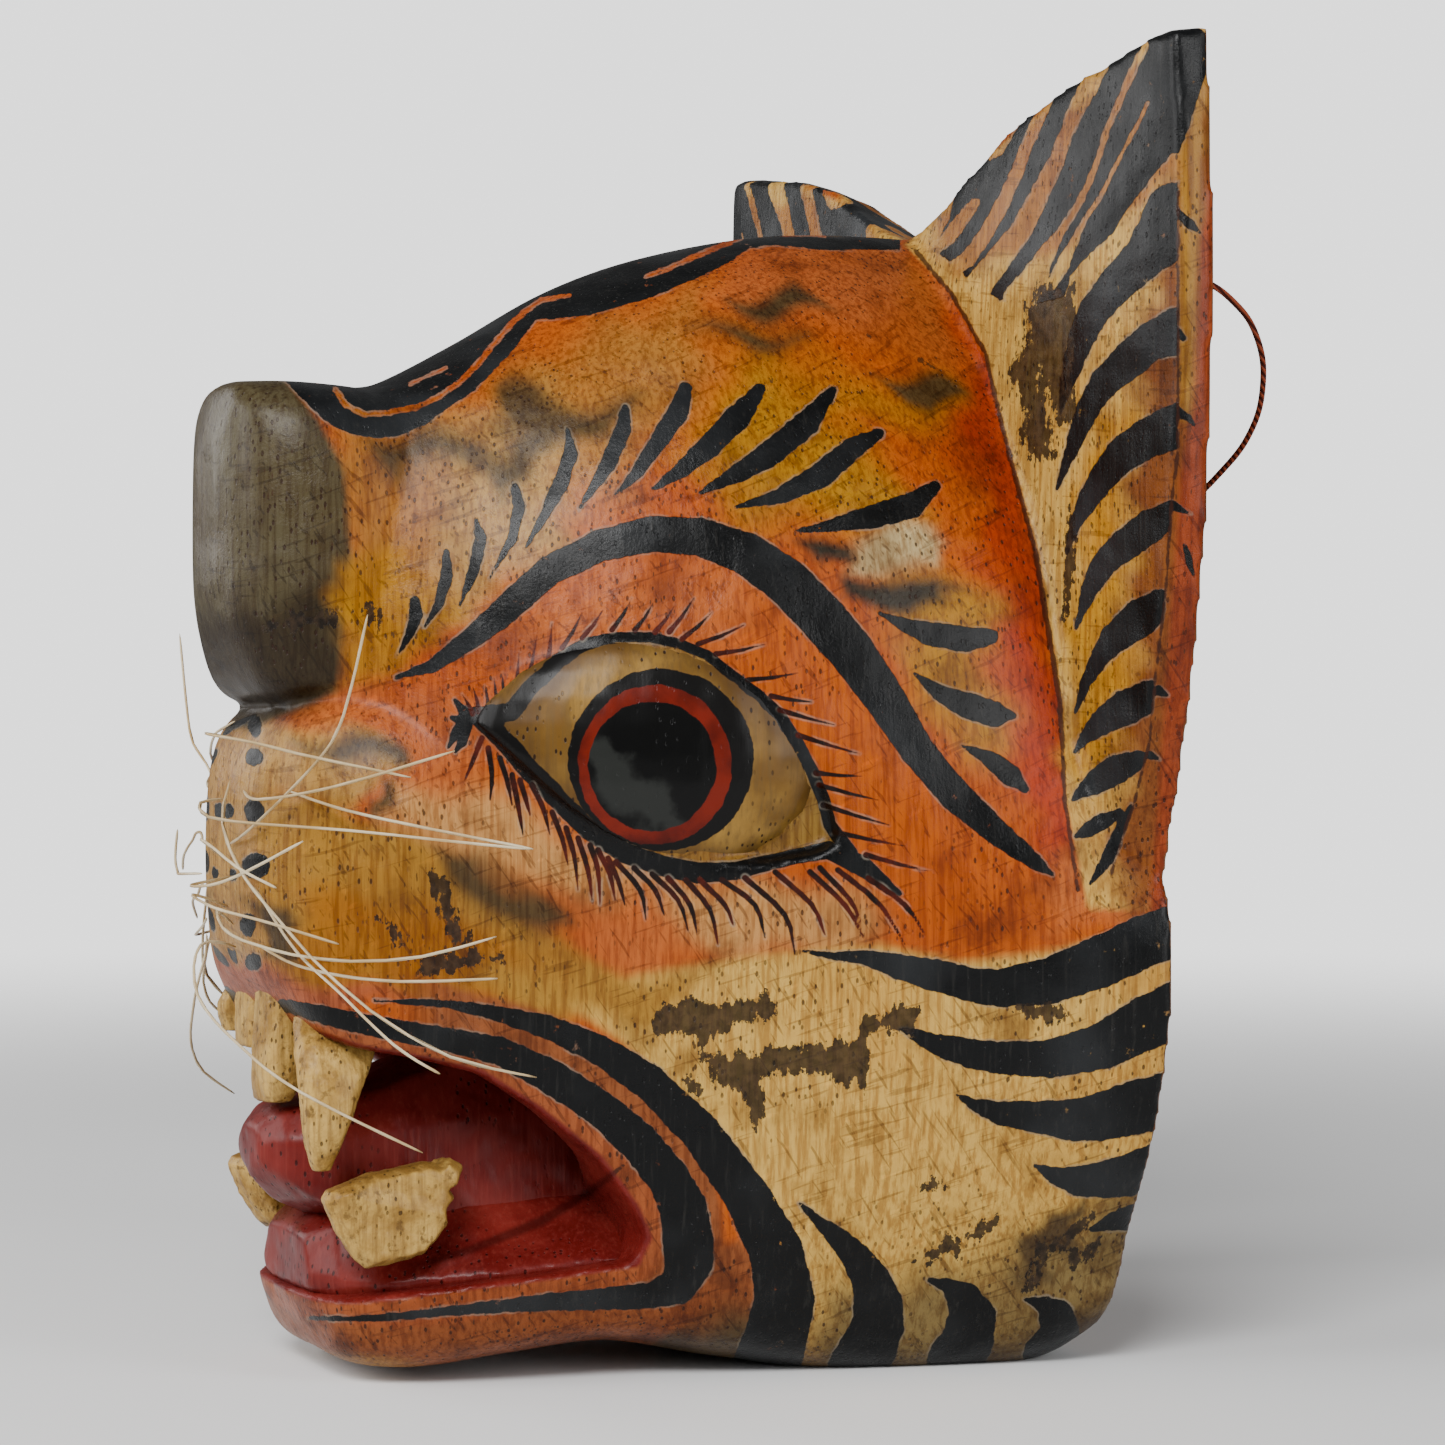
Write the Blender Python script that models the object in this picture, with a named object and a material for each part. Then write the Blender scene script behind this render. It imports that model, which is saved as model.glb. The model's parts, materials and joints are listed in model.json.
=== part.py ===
"""Tiger mask: one block of carved wood, with bristle whiskers and a cord at the back to hang it by.

Metres, +Z up. The tiger looks along -Y and its left side is at +X. The mask stands on the flats
under its jaw and cheeks, and its flat back is a vertical plane. The carving is worked out in the
carver's grid, where the mask is 30 units tall, the back is depth 0 and the depth grows forwards.
"""

import math

import bmesh
import bpy
import numpy as np
from mathutils import Vector
from mathutils.bvhtree import BVHTree

# Driving sizes, in metres
MASK_HEIGHT = 0.300
HOLLOW_DEPTH = 0.075
HOLLOW_WALL = 0.016
RIM_THICKNESS = 0.0085
EAR_ROOT_THICKNESS = 0.0145
EYE_RECESS = 0.0030
EYE_BULGE = 0.0055
WHISKER_DIAMETER = 0.0009
CORD_DIAMETER = 0.0014
CORD_HOLE_DEPTH = 0.0060
TOUCH_GAP = 0.0003

# One unit of the carver's grid
U = MASK_HEIGHT / 30

# How finely the loft nets are cut up: (steps along the depth, steps round each section)
HEAD_STEPS = (3, 3)
DETAIL_STEPS = (2, 3)

WOOD_PAINT = (0.62, 0.33, 0.10)
BRISTLE = (0.85, 0.80, 0.68)
CORD_BROWN = (0.33, 0.14, 0.08)


def clear_scene():
    for old in list(bpy.data.objects):
        bpy.data.objects.remove(old, do_unlink=True)


def material(name, colour, roughness):
    made = bpy.data.materials.new(name)
    made.use_nodes = True
    shader = made.node_tree.nodes["Principled BSDF"]
    shader.inputs["Base Color"].default_value = (*colour, 1.0)
    shader.inputs["Roughness"].default_value = roughness
    shader.inputs["Metallic"].default_value = 0.0
    made.diffuse_color = (*colour, 1.0)
    return made


def place(name, mesh, made_of, helper=False):
    """A named object from a bmesh, and a cutter or a part to be joined if helper is set."""
    data = bpy.data.meshes.new(name)
    mesh.to_mesh(data)
    mesh.free()
    made = bpy.data.objects.new(name, data)
    data.materials.append(made_of)
    bpy.context.scene.collection.objects.link(made)
    if helper:
        made.hide_render = True
        made.display_type = "WIRE"
    return made


def spline(rows, steps, half=False):
    """Points on a Catmull-Rom curve through the rows, with this many steps between two rows.

    The rows of a half section of (x, z) carry on in their mirror image at both ends.
    """
    rows = np.asarray(rows, float)
    first, last = 2 * rows[0] - rows[1], 2 * rows[-1] - rows[-2]
    if half:
        first, last = rows[1] * (-1, 1), rows[-2] * (-1, 1)
    before = np.concatenate([[first], rows[:-1]])
    after = np.concatenate([rows[1:], [last]])
    out = []
    for i in range(len(rows) - 1):
        leave = (rows[i + 1] - before[i]) / 2
        arrive = (after[i + 1] - rows[i]) / 2
        for k in range(steps):
            t = k / steps
            out.append(
                (2 * t**3 - 3 * t**2 + 1) * rows[i]
                + (t**3 - 2 * t**2 + t) * leave
                + (3 * t**2 - 2 * t**3) * rows[i + 1]
                + (t**3 - t**2) * arrive
            )
    out.append(rows[-1])
    return np.array(out)


def closed_ring(half):
    """A whole section from its half, which runs from the top centre to the bottom centre."""
    other = half[-2:0:-1] * np.array([-1.0, 1.0])
    return np.concatenate([half, other])


def loft(rings, cap_ends=True):
    """A closed bmesh through rings of equal length, each a list of (x, y, z) in metres."""
    mesh = bmesh.new()
    rows = [[mesh.verts.new(point) for point in ring] for ring in rings]
    count = len(rows[0])
    for near, far in zip(rows, rows[1:]):
        for i in range(count):
            j = (i + 1) % count
            mesh.faces.new((near[i], near[j], far[j], far[i]))
    if cap_ends:
        mesh.faces.new(rows[0])
        mesh.faces.new(rows[-1][::-1])
    bmesh.ops.recalc_face_normals(mesh, faces=mesh.faces)
    if mesh.calc_volume(signed=True) < 0:
        bmesh.ops.reverse_faces(mesh, faces=mesh.faces)
    return mesh


def section_rings(stations, depth_steps, round_steps, shift=0.0):
    """Rings of a form given as (depth, half section) stations in grid units, all at shift in x."""
    halves = [spline(half, round_steps, True) for _, half in stations]
    depths = spline([[depth] for depth, _ in stations], depth_steps)[:, 0]
    flat = spline([half.ravel() for half in halves], depth_steps)
    rings = []
    for depth, row in zip(depths, flat):
        half = row.reshape(-1, 2)
        half[0, 0] = half[-1, 0] = 0.0
        half[:, 0] = np.maximum(half[:, 0], 0.0)
        ring = closed_ring(half)
        rings.append([((x + shift) * U, -depth * U, z * U) for x, z in ring])
    return rings


# Head, from behind the back plane to the front of the lower jaw. Each half section has ten points:
# top centre, crown, forehead, brow, eye, cheekbone, lip level, jaw side, jaw edge, bottom centre.
HEAD = (
    (-0.5, ((0, 26.4), (1.8, 25.0), (4.3, 22.0), (6.7, 18.3), (7.8, 14.6), (9.9, 10.3), (9.6, 6.6),
        (8.2, 3.3), (6.4, 0.7), (0, -0.1))),
    (0.0, ((0, 26.5), (1.9, 25.1), (4.4, 22.1), (6.8, 18.3), (7.9, 14.6), (9.9, 10.3), (9.55, 6.6),
        (8.2, 3.3), (6.4, 0.7), (0, -0.1))),
    (1.5, ((0, 26.7), (2.1, 25.2), (4.8, 22.3), (7.1, 18.4), (8.1, 14.6), (9.4, 10.2), (9.1, 6.4),
        (7.9, 3.0), (6.0, 0.0), (0, -0.2))),
    (5.2, ((0, 26.55), (3.0, 25.0), (5.3, 22.0), (7.0, 18.4), (7.8, 14.4), (8.1, 10.6), (7.8, 6.4),
        (6.9, 2.9), (5.2, -0.05), (0, -0.2))),
    (8.5, ((0, 25.85), (3.2, 24.4), (5.3, 21.6), (6.6, 18.4), (7.2, 14.4), (7.0, 10.6), (6.5, 6.4),
        (6.0, 2.7), (4.7, 0.5), (0, 0.2))),
    (11.0, ((0, 24.9), (2.9, 23.6), (4.9, 21.0), (5.9, 18.2), (6.5, 14.4), (6.2, 10.9), (5.6, 6.2),
        (5.3, 2.9), (4.2, 0.95), (0, 0.7))),
    (13.3, ((0, 23.55), (2.6, 22.6), (4.0, 20.4), (4.9, 17.9), (5.4, 14.6), (5.3, 11.0), (4.9, 6.0),
        (4.7, 2.7), (3.7, 0.75), (0, 0.5))),
    (15.3, ((0, 22.5), (2.2, 21.9), (3.2, 20.0), (3.8, 17.8), (4.1, 15.4), (4.4, 11.6), (4.2, 6.0),
        (4.1, 2.5), (3.1, 0.5), (0, 0.3))),
    (16.7, ((0, 22.2), (1.8, 21.6), (2.6, 19.8), (2.9, 17.8), (3.1, 15.4), (3.2, 11.6), (3.2, 6.0),
        (3.3, 2.5), (2.6, 0.72), (0, 0.5))),
    (17.25, ((0, 20.6), (1.3, 20.2), (1.9, 19.0), (2.3, 17.4), (2.4, 15.0), (2.5, 11.6), (2.5, 6.0),
        (2.6, 2.7), (2.0, 1.45), (0, 1.2))),
    (17.65, ((0, 19.0), (0.9, 18.7), (1.3, 18.0), (1.6, 16.8), (1.7, 15.0), (1.8, 11.6), (1.8, 6.0),
        (1.9, 3.0), (1.3, 2.4), (0, 2.2))),
)

# Nose block: top centre, top corner, side, middle, lower side, bottom corner, bottom centre
NOSE = (
    (13.6, ((0, 21.8), (1.5, 21.4), (2.3, 20.2), (2.6, 18.2), (2.5, 16.6), (1.8, 15.6), (0, 15.5))),
    (15.6, ((0, 22.3), (1.8, 22.0), (2.75, 20.9), (3.2, 18.4), (3.15, 16.4), (2.5, 15.4), (0, 15.3))),
    (17.2, ((0, 22.4), (1.8, 22.2), (2.7, 21.2), (3.05, 18.6), (3.0, 16.3), (2.5, 15.3), (0, 15.2))),
    (18.4, ((0, 22.4), (1.5, 22.2), (2.3, 21.3), (2.6, 18.7), (2.5, 16.6), (1.9, 15.5), (0, 15.3))),
    (19.0, ((0, 22.25), (1.2, 22.05), (1.75, 21.2), (1.9, 18.8), (1.75, 17.3), (1.2, 16.6), (0, 16.4))),
    (19.3, ((0, 21.3), (0.6, 21.1), (0.85, 20.6), (0.9, 19.0), (0.8, 18.1), (0.5, 17.8), (0, 17.7))),
)

# Muzzle pad over the upper lip: top centre, top corner, upper side, middle, lower side, lip, bottom
MUZZLE = (
    (9.5, ((0, 14.0), (2.6, 13.8), (4.0, 12.8), (4.5, 11.2), (4.3, 9.6), (3.6, 8.6), (0, 8.4))),
    (12.5, ((0, 15.3), (3.2, 15.1), (4.5, 13.6), (5.0, 11.4), (4.8, 9.3), (4.0, 7.0), (0, 6.6))),
    (15.0, ((0, 15.7), (3.0, 15.6), (4.3, 14.2), (4.8, 11.6), (4.65, 9.4), (4.2, 6.9), (0, 6.6))),
    (16.9, ((0, 15.5), (2.6, 15.35), (3.8, 14.0), (4.2, 11.6), (4.1, 9.6), (3.7, 7.2), (0, 7.0))),
    (18.1, ((0, 14.9), (2.0, 14.8), (2.95, 13.8), (3.3, 11.7), (3.2, 10.0), (2.7, 8.7), (0, 8.5))),
    (18.65, ((0, 14.2), (1.2, 14.1), (1.9, 13.4), (2.15, 11.9), (2.0, 10.6), (1.5, 9.7), (0, 9.5))),
    (18.85, ((0, 13.3), (0.6, 13.2), (0.9, 12.7), (1.0, 12.0), (0.9, 11.3), (0.6, 10.8), (0, 10.7))),
)

# Outline of the ears and the side panels as seen from the front, from the notch between the ears
# over the tip and down the rim to the ledge over the cheek: (x, z) at the back, at the front edge
# of the rim, and where the panel runs in under the face
PANEL = (
    ((0, 26.3), (0, 26.6), (0, 26.2)),
    ((1.8, 27.0), (1.8, 27.3), (1.0, 25.9)),
    ((4.3, 28.1), (4.3, 28.55), (2.2, 25.0)),
    ((6.6, 28.9), (6.6, 29.2), (3.0, 24.0)),
    ((8.8, 29.5), (8.8, 29.55), (3.7, 23.0)),
    ((10.9, 30.0), (10.8, 29.85), (4.3, 22.2)),
    ((11.35, 30.0), (11.3, 29.8), (4.8, 21.4)),
    ((11.55, 27.5), (11.5, 27.5), (5.3, 20.6)),
    ((11.65, 24.4), (11.6, 24.4), (5.9, 19.6)),
    ((11.6, 21.8), (11.45, 21.8), (6.3, 18.6)),
    ((11.4, 19.0), (11.15, 19.0), (6.7, 17.2)),
    ((11.05, 16.6), (10.75, 16.6), (7.0, 15.6)),
    ((10.8, 15.0), (10.35, 15.0), (7.1, 14.2)),
    ((10.4, 13.0), (9.7, 13.2), (7.2, 12.8)),
    ((10.1, 11.4), (8.9, 11.5), (7.2, 11.6)),
    ((9.3, 10.7), (8.2, 10.8), (6.4, 10.9)),
    ((0, 10.7), (0, 10.8), (0, 10.9)),
)
PANEL_HALF_WIDTH = 11.65
PANEL_ROOT_DEPTH = 1.75

# Side view of the open mouth: (depth, z), from the front over the lip line to the corner and back
MOUTH = (
    (21.0, 9.2), (18.9, 8.85), (18.5, 8.35), (18.0, 8.0), (17.0, 7.6), (15.7, 7.35), (14.4, 7.0),
    (13.2, 6.2), (11.9, 5.1), (11.1, 4.0), (10.8, 3.3), (11.0, 2.75), (12.6, 2.55), (15.0, 2.3),
    (17.0, 2.0), (18.0, 1.95), (21.0, 2.3),
)
MOUTH_REACH = 8.0

# Hollow behind the lips: centre and half sizes
MOUTH_CAVITY = ((0.0, 14.2, 5.9), (4.2, 5.2, 3.3))

# Tongue: top centre, top edge, side, lower edge, bottom centre
TONGUE = (
    (8.3, ((0, 8.2), (1.9, 7.9), (2.6, 6.3), (2.8, 3.2), (0, 3.0))),
    (11.5, ((0, 8.0), (1.8, 7.7), (2.5, 6.1), (2.75, 3.2), (0, 3.0))),
    (14.0, ((0, 7.3), (1.7, 7.1), (2.35, 5.8), (2.6, 3.3), (0, 3.0))),
    (15.6, ((0, 6.6), (1.5, 6.5), (2.2, 5.5), (2.35, 3.5), (0, 3.2))),
    (16.9, ((0, 6.35), (1.3, 6.25), (1.95, 5.4), (2.05, 3.9), (0, 3.5))),
    (17.8, ((0, 6.1), (1.0, 6.0), (1.5, 5.4), (1.5, 4.5), (0, 3.95))),
    (18.3, ((0, 5.65), (0.5, 5.6), (0.8, 5.3), (0.8, 4.9), (0, 4.5))),
)

# Gum under the tongue: top centre, top edge, lip, lower edge, bottom centre
GUM = (
    (8.3, ((0, 4.3), (2.8, 4.1), (4.5, 2.8), (4.0, 1.5), (0, 1.2))),
    (11.5, ((0, 4.2), (2.7, 4.0), (4.6, 2.75), (3.9, 1.5), (0, 1.2))),
    (14.0, ((0, 4.0), (2.5, 3.9), (4.05, 2.5), (3.4, 1.5), (0, 1.2))),
    (16.2, ((0, 3.8), (2.1, 3.7), (3.1, 2.3), (2.6, 1.4), (0, 1.2))),
    (16.9, ((0, 3.65), (1.8, 3.55), (2.5, 2.3), (2.2, 1.8), (0, 1.6))),
    (17.42, ((0, 3.3), (1.3, 3.2), (1.7, 2.4), (1.6, 2.1), (0, 2.0))),
)

# Almond of the eye in the side view: (depth, z), from the inner corner over the upper lid
EYE = (
    (14.55, 14.75), (13.6, 15.75), (12.4, 16.45), (11.2, 16.6), (9.9, 16.2), (8.6, 15.2),
    (7.6, 13.7), (7.05, 12.15), (8.0, 11.75), (9.4, 11.6), (10.7, 11.8), (12.1, 12.4), (13.3, 13.4),
)
EYE_INNER = (14.55, 5.1)
EYE_OUTER = (7.05, 7.35)
EYEBALL_CENTRE = (10.9, 14.0)
EYEBALL_HALF = (4.05, 2.85)
# How much wider than its socket the eyeball is cut, so that its edge is buried in the lids
EYEBALL_OVERLAP = 1.04

# Teeth, each as rings from the root to the tip: (x, depth, z, half thickness, half length)
UPPER_CANINE = (
    (1.8, 16.8, 9.3, 0.45, 0.70),
    (2.2, 17.0, 8.3, 0.52, 0.90),
    (2.8, 17.15, 7.6, 0.56, 0.95),
    (3.2, 17.4, 6.7, 0.55, 0.72),
    (3.35, 17.6, 5.6, 0.42, 0.45),
    (3.3, 17.65, 4.9, 0.20, 0.20),
)
NEAR_INCISOR = (
    (1.15, 17.7, 9.6, 0.9, 0.50),
    (1.15, 17.8, 7.6, 0.95, 0.52),
    (1.1, 17.85, 6.7, 0.9, 0.48),
    (0.95, 17.9, 6.2, 0.70, 0.36),
)
FAR_INCISOR = (
    (-1.0, 17.6, 9.6, 0.85, 0.50),
    (-1.0, 17.7, 7.9, 0.88, 0.50),
    (-1.0, 17.75, 7.3, 0.8, 0.42),
)
BROKEN_CANINE = (
    (-2.4, 16.9, 9.3, 0.45, 0.70),
    (-2.95, 17.15, 8.2, 0.55, 0.95),
    (-3.15, 17.2, 7.5, 0.50, 0.75),
)
# Side view of a lower canine: (depth, z) from its worn front end over the top
LOWER_CANINE = (
    (17.72, 4.3), (17.59, 4.51), (16.7, 4.81), (15.2, 5.06), (14.96, 4.93), (14.78, 5.14), (14.45, 4.89),
    (14.57, 4.56), (14.85, 4.49), (14.64, 4.23), (14.89, 3.96), (14.82, 3.63), (15.03, 3.36), (15.41, 2.98),
    (16.06, 2.83), (16.75, 2.74), (17.0, 2.95), (17.41, 3.59),
)
# Across the jaw, from its buried side outwards: (x, share of the outline)
LOWER_CANINE_STEPS = ((2.7, 0.8), (3.1, 0.95), (3.65, 1.0), (3.95, 0.85))
TOOTH_SIDES = 12

# Whiskers of one side, each as (x, depth, z) points from its root in the muzzle to its tip
WHISKERS = (
    ((0.7, 18.6, 14.3), (2.2, 20.1, 14.5), (2.6, 19.8, 14.4), (3.4, 19.3, 14.3), (4.5, 18.5, 14.0),
        (5.2, 17.7, 13.8), (5.8, 16.4, 13.5)),
    ((0.7, 18.7, 13.9), (1.5, 18.7, 13.6), (2.9, 18.2, 13.2), (4.5, 17.5, 12.8), (6.4, 16.1, 12.4),
        (7.5, 14.3, 12.0)),
    ((0.7, 18.9, 12.0), (2.3, 18.9, 12.4), (4.3, 18.1, 13.8), (5.3, 17.8, 14.8), (6.3, 17.6, 17.0)),
    ((1.4, 18.7, 13.2), (2.6, 18.9, 13.0), (5.0, 17.9, 13.3), (7.2, 15.9, 14.1)),
    ((0.6, 18.9, 13.0), (1.7, 20.0, 13.0), (2.2, 20.0, 12.6), (3.6, 19.1, 12.5), (5.5, 17.7, 12.4),
        (6.9, 16.2, 12.2), (7.7, 14.4, 12.0)),
    ((0.7, 18.8, 13.5), (2.0, 19.6, 12.5), (3.3, 19.4, 11.3), (4.2, 19.0, 10.6), (5.1, 18.5, 9.7),
        (6.3, 17.6, 8.6), (7.4, 16.2, 7.6), (7.8, 14.3, 7.2)),
    ((0.6, 18.9, 11.6), (3.0, 20.3, 12.2), (3.8, 20.2, 12.0), (4.9, 20.0, 11.6), (5.7, 19.4, 11.2)),
    ((1.1, 18.8, 11.3), (3.2, 20.6, 11.2), (3.8, 20.3, 11.2), (4.7, 19.8, 11.5), (5.7, 18.8, 12.2)),
    ((0.6, 18.8, 10.6), (2.6, 20.4, 11.0), (3.5, 20.1, 10.7), (4.8, 19.5, 10.5), (6.0, 18.1, 10.0)),
    ((0.8, 18.8, 10.2), (2.0, 19.7, 10.7), (2.7, 19.7, 10.2), (3.3, 19.5, 10.0), (4.5, 18.7, 9.7),
        (5.7, 17.8, 9.6), (6.8, 16.6, 9.7), (7.5, 15.1, 10.2)),
    ((2.0, 18.6, 9.8), (3.2, 18.4, 9.5), (4.6, 17.9, 9.3), (6.3, 16.9, 9.2), (7.5, 15.1, 9.3)),
    ((1.9, 18.7, 11.1), (3.1, 18.7, 10.5), (4.4, 18.5, 9.7), (5.5, 18.0, 9.0), (6.8, 17.2, 7.9),
        (7.2, 16.3, 7.3)),
    ((0.7, 18.7, 9.7), (2.0, 20.0, 9.9), (3.1, 20.4, 8.8), (4.4, 19.8, 7.8), (5.6, 18.9, 6.9),
        (6.8, 16.5, 5.6)),
)
WHISKER_POINTS = 7
# Share of their forward bow that the bristles of each side keep: the right ones are pressed back
WHISKER_BOW = {1: 1.0, -1: 0.35}
WHISKER_BOW_FROM = 17.5
WHISKER_PASS = WHISKER_DIAMETER + 2 * TOUCH_GAP

# Cord, from its hole in one side of the rim to the middle behind the mask: (x, depth, z)
CORD = (
    (10.2, 0.4, 24.6), (10.2, 0.0, 24.6), (10.15, -0.6, 24.55), (9.85, -1.6, 24.2),
    (9.2, -2.7, 23.5), (8.4, -3.4, 22.5), (7.5, -3.65, 21.5), (6.4, -3.5, 20.6),
    (4.8, -3.1, 19.6), (2.5, -2.75, 18.8), (0.0, -2.65, 18.5),
)
CORD_STEPS = 4
CORD_HOLE_SIDES = 12

# Share of the section that the hollow keeps on its way to its front
HOLLOW_ROUNDING = ((0.0, 1.0), (0.35, 0.98), (0.62, 0.91), (0.82, 0.78), (0.95, 0.6), (1.0, 0.45))
HOLLOW_CENTRE_Z = 12.5
HOLLOW_GUIDE_X = 7.9


def blank_forms(made_of):
    """The closed forms that are joined into the carving."""
    head = place("mask", loft(section_rings(HEAD, *HEAD_STEPS)), made_of)
    joined = [
        place("nose_block", loft(section_rings(NOSE, *DETAIL_STEPS)), made_of, True),
        place("muzzle_pad", loft(section_rings(MUZZLE, *DETAIL_STEPS)), made_of, True),
        place("ear_panel", panel_form(), made_of, True),
    ]
    return head, joined


def panel_form():
    """The plate of both ears and side panels, thickest at the notch between the ears."""
    rings = []
    for step in range(3):
        half = np.array([row[step] for row in PANEL], float)
        ring = []
        for x, z in closed_ring(half):
            inward = 1 - abs(x) / PANEL_HALF_WIDTH
            front = (RIM_THICKNESS + (EAR_ROOT_THICKNESS - RIM_THICKNESS) * inward) / U
            depth = (-0.5, front, PANEL_ROOT_DEPTH)[step]
            ring.append((x * U, -depth * U, z * U))
        rings.append(ring)
    return loft(rings)


def ellipsoid(centre, sizes, segments=24, rings=14, turn=0.0):
    """A ball stretched to half sizes along x, depth and z in grid units, then turned about z."""
    mesh = bmesh.new()
    bmesh.ops.create_uvsphere(mesh, u_segments=segments, v_segments=rings, radius=1.0)
    x, depth, z = centre
    c, s = math.cos(turn), math.sin(turn)
    for vert in mesh.verts:
        across, along, up = (vert.co[i] * sizes[i] for i in range(3))
        vert.co = Vector((
            (x + across * c - along * s) * U,
            (-depth + across * s + along * c) * U,
            (z + up) * U,
        ))
    return mesh


def prism(outline, low_x, high_x):
    """A side-view outline of (depth, z) drawn out between two values of x, each a function."""
    rings = []
    for x in (low_x, high_x):
        rings.append([(x(depth) * U, -depth * U, z * U) for depth, z in outline])
    return loft(rings)


def eye_plane(depth):
    """x of the plane through the lids, at a depth."""
    (inner, inner_x), (outer, outer_x) = EYE_INNER, EYE_OUTER
    return outer_x + (inner_x - outer_x) * (depth - outer) / (inner - outer)


def eye_forms(side, name, made_of):
    """The socket to cut and the eyeball to join, on one side."""
    recess = EYE_RECESS / U
    outline = spline(EYE + EYE[:1], 2)[:-1]
    socket = prism(
        outline,
        lambda depth: side * (eye_plane(depth) - recess),
        lambda depth: side * (eye_plane(depth) + 3),
    )
    depth, z = EYEBALL_CENTRE
    wider = (outline - EYEBALL_CENTRE) * EYEBALL_OVERLAP + EYEBALL_CENTRE
    almond = prism(
        wider,
        lambda depth: side * (eye_plane(depth) - 2),
        lambda depth: side * (eye_plane(depth) + 3),
    )
    (inner, inner_x), (outer, outer_x) = EYE_INNER, EYE_OUTER
    turn = -side * math.atan2(outer_x - inner_x, inner - outer)
    sink = 2 * recess
    sizes = (sink + EYE_BULGE / U, EYEBALL_HALF[0], EYEBALL_HALF[1])
    centre = (side * (eye_plane(depth) - sink), depth, z)
    ball = place(f"eyeball_{name}", ellipsoid(centre, sizes, turn=turn), made_of, True)
    boolean(ball, place(f"almond_{name}", almond, made_of, True), "INTERSECT")
    return place(f"eye_socket_{name}", socket, made_of, True), ball


def tooth(rings):
    """A tooth from its rings of squared ovals."""
    out = []
    for x, depth, z, thick, long in rings:
        ring = []
        for k in range(TOOTH_SIDES):
            angle = 2 * math.pi * k / TOOTH_SIDES
            c, s = math.cos(angle), math.sin(angle)
            across = thick * math.copysign(abs(c) ** 0.7, c)
            along = long * math.copysign(abs(s) ** 0.7, s)
            ring.append(((x + across) * U, -(depth + along) * U, z * U))
        out.append(ring)
    return loft(out)


def leaf_tooth(outline, steps, side):
    """A flat tooth from its side view, rounded off across the jaw."""
    outline = np.array(outline)
    middle = outline.mean(axis=0)
    rings = []
    for x, share in steps:
        drawn = middle + (outline - middle) * share
        rings.append([(side * x * U, -depth * U, z * U) for depth, z in drawn])
    return loft(rings)


def hollow_form():
    """The hollow at the back: the head's own sections, drawn in by the wall and rounded in front."""
    keep = 1 - HOLLOW_WALL / (HOLLOW_GUIDE_X * U)
    keep_z = 1 - HOLLOW_WALL / (HOLLOW_CENTRE_Z * U)
    depths = np.array([depth for depth, _ in HEAD])
    halves = np.array([half for _, half in HEAD], float)
    rings = []
    for share, rounding in ((-0.05, 1.0),) + HOLLOW_ROUNDING:
        depth = share * HOLLOW_DEPTH / U
        half = np.array([
            [np.interp(depth, depths, halves[:, i, k]) for k in (0, 1)] for i in range(halves.shape[1])
        ])
        half = spline(half, DETAIL_STEPS[1], True)
        half[0, 0] = half[-1, 0] = 0.0
        ring = []
        for x, z in closed_ring(half):
            z = HOLLOW_CENTRE_Z + (z - HOLLOW_CENTRE_Z) * keep_z * rounding
            ring.append((x * keep * rounding * U, -depth * U, z * U))
        rings.append(ring)
    return loft(rings)


def block(low, high):
    """A box between two corners, in metres."""
    mesh = bmesh.new()
    bmesh.ops.create_cube(mesh, size=1.0)
    for vert in mesh.verts:
        vert.co = Vector(((low[i] + high[i]) / 2 + vert.co[i] * (high[i] - low[i]) for i in range(3)))
    return mesh


def boolean(target, other, operation):
    cut = target.modifiers.new(f"{operation.lower()} {other.name}", "BOOLEAN")
    cut.operation = operation
    cut.solver = "EXACT"
    cut.object = other


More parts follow.
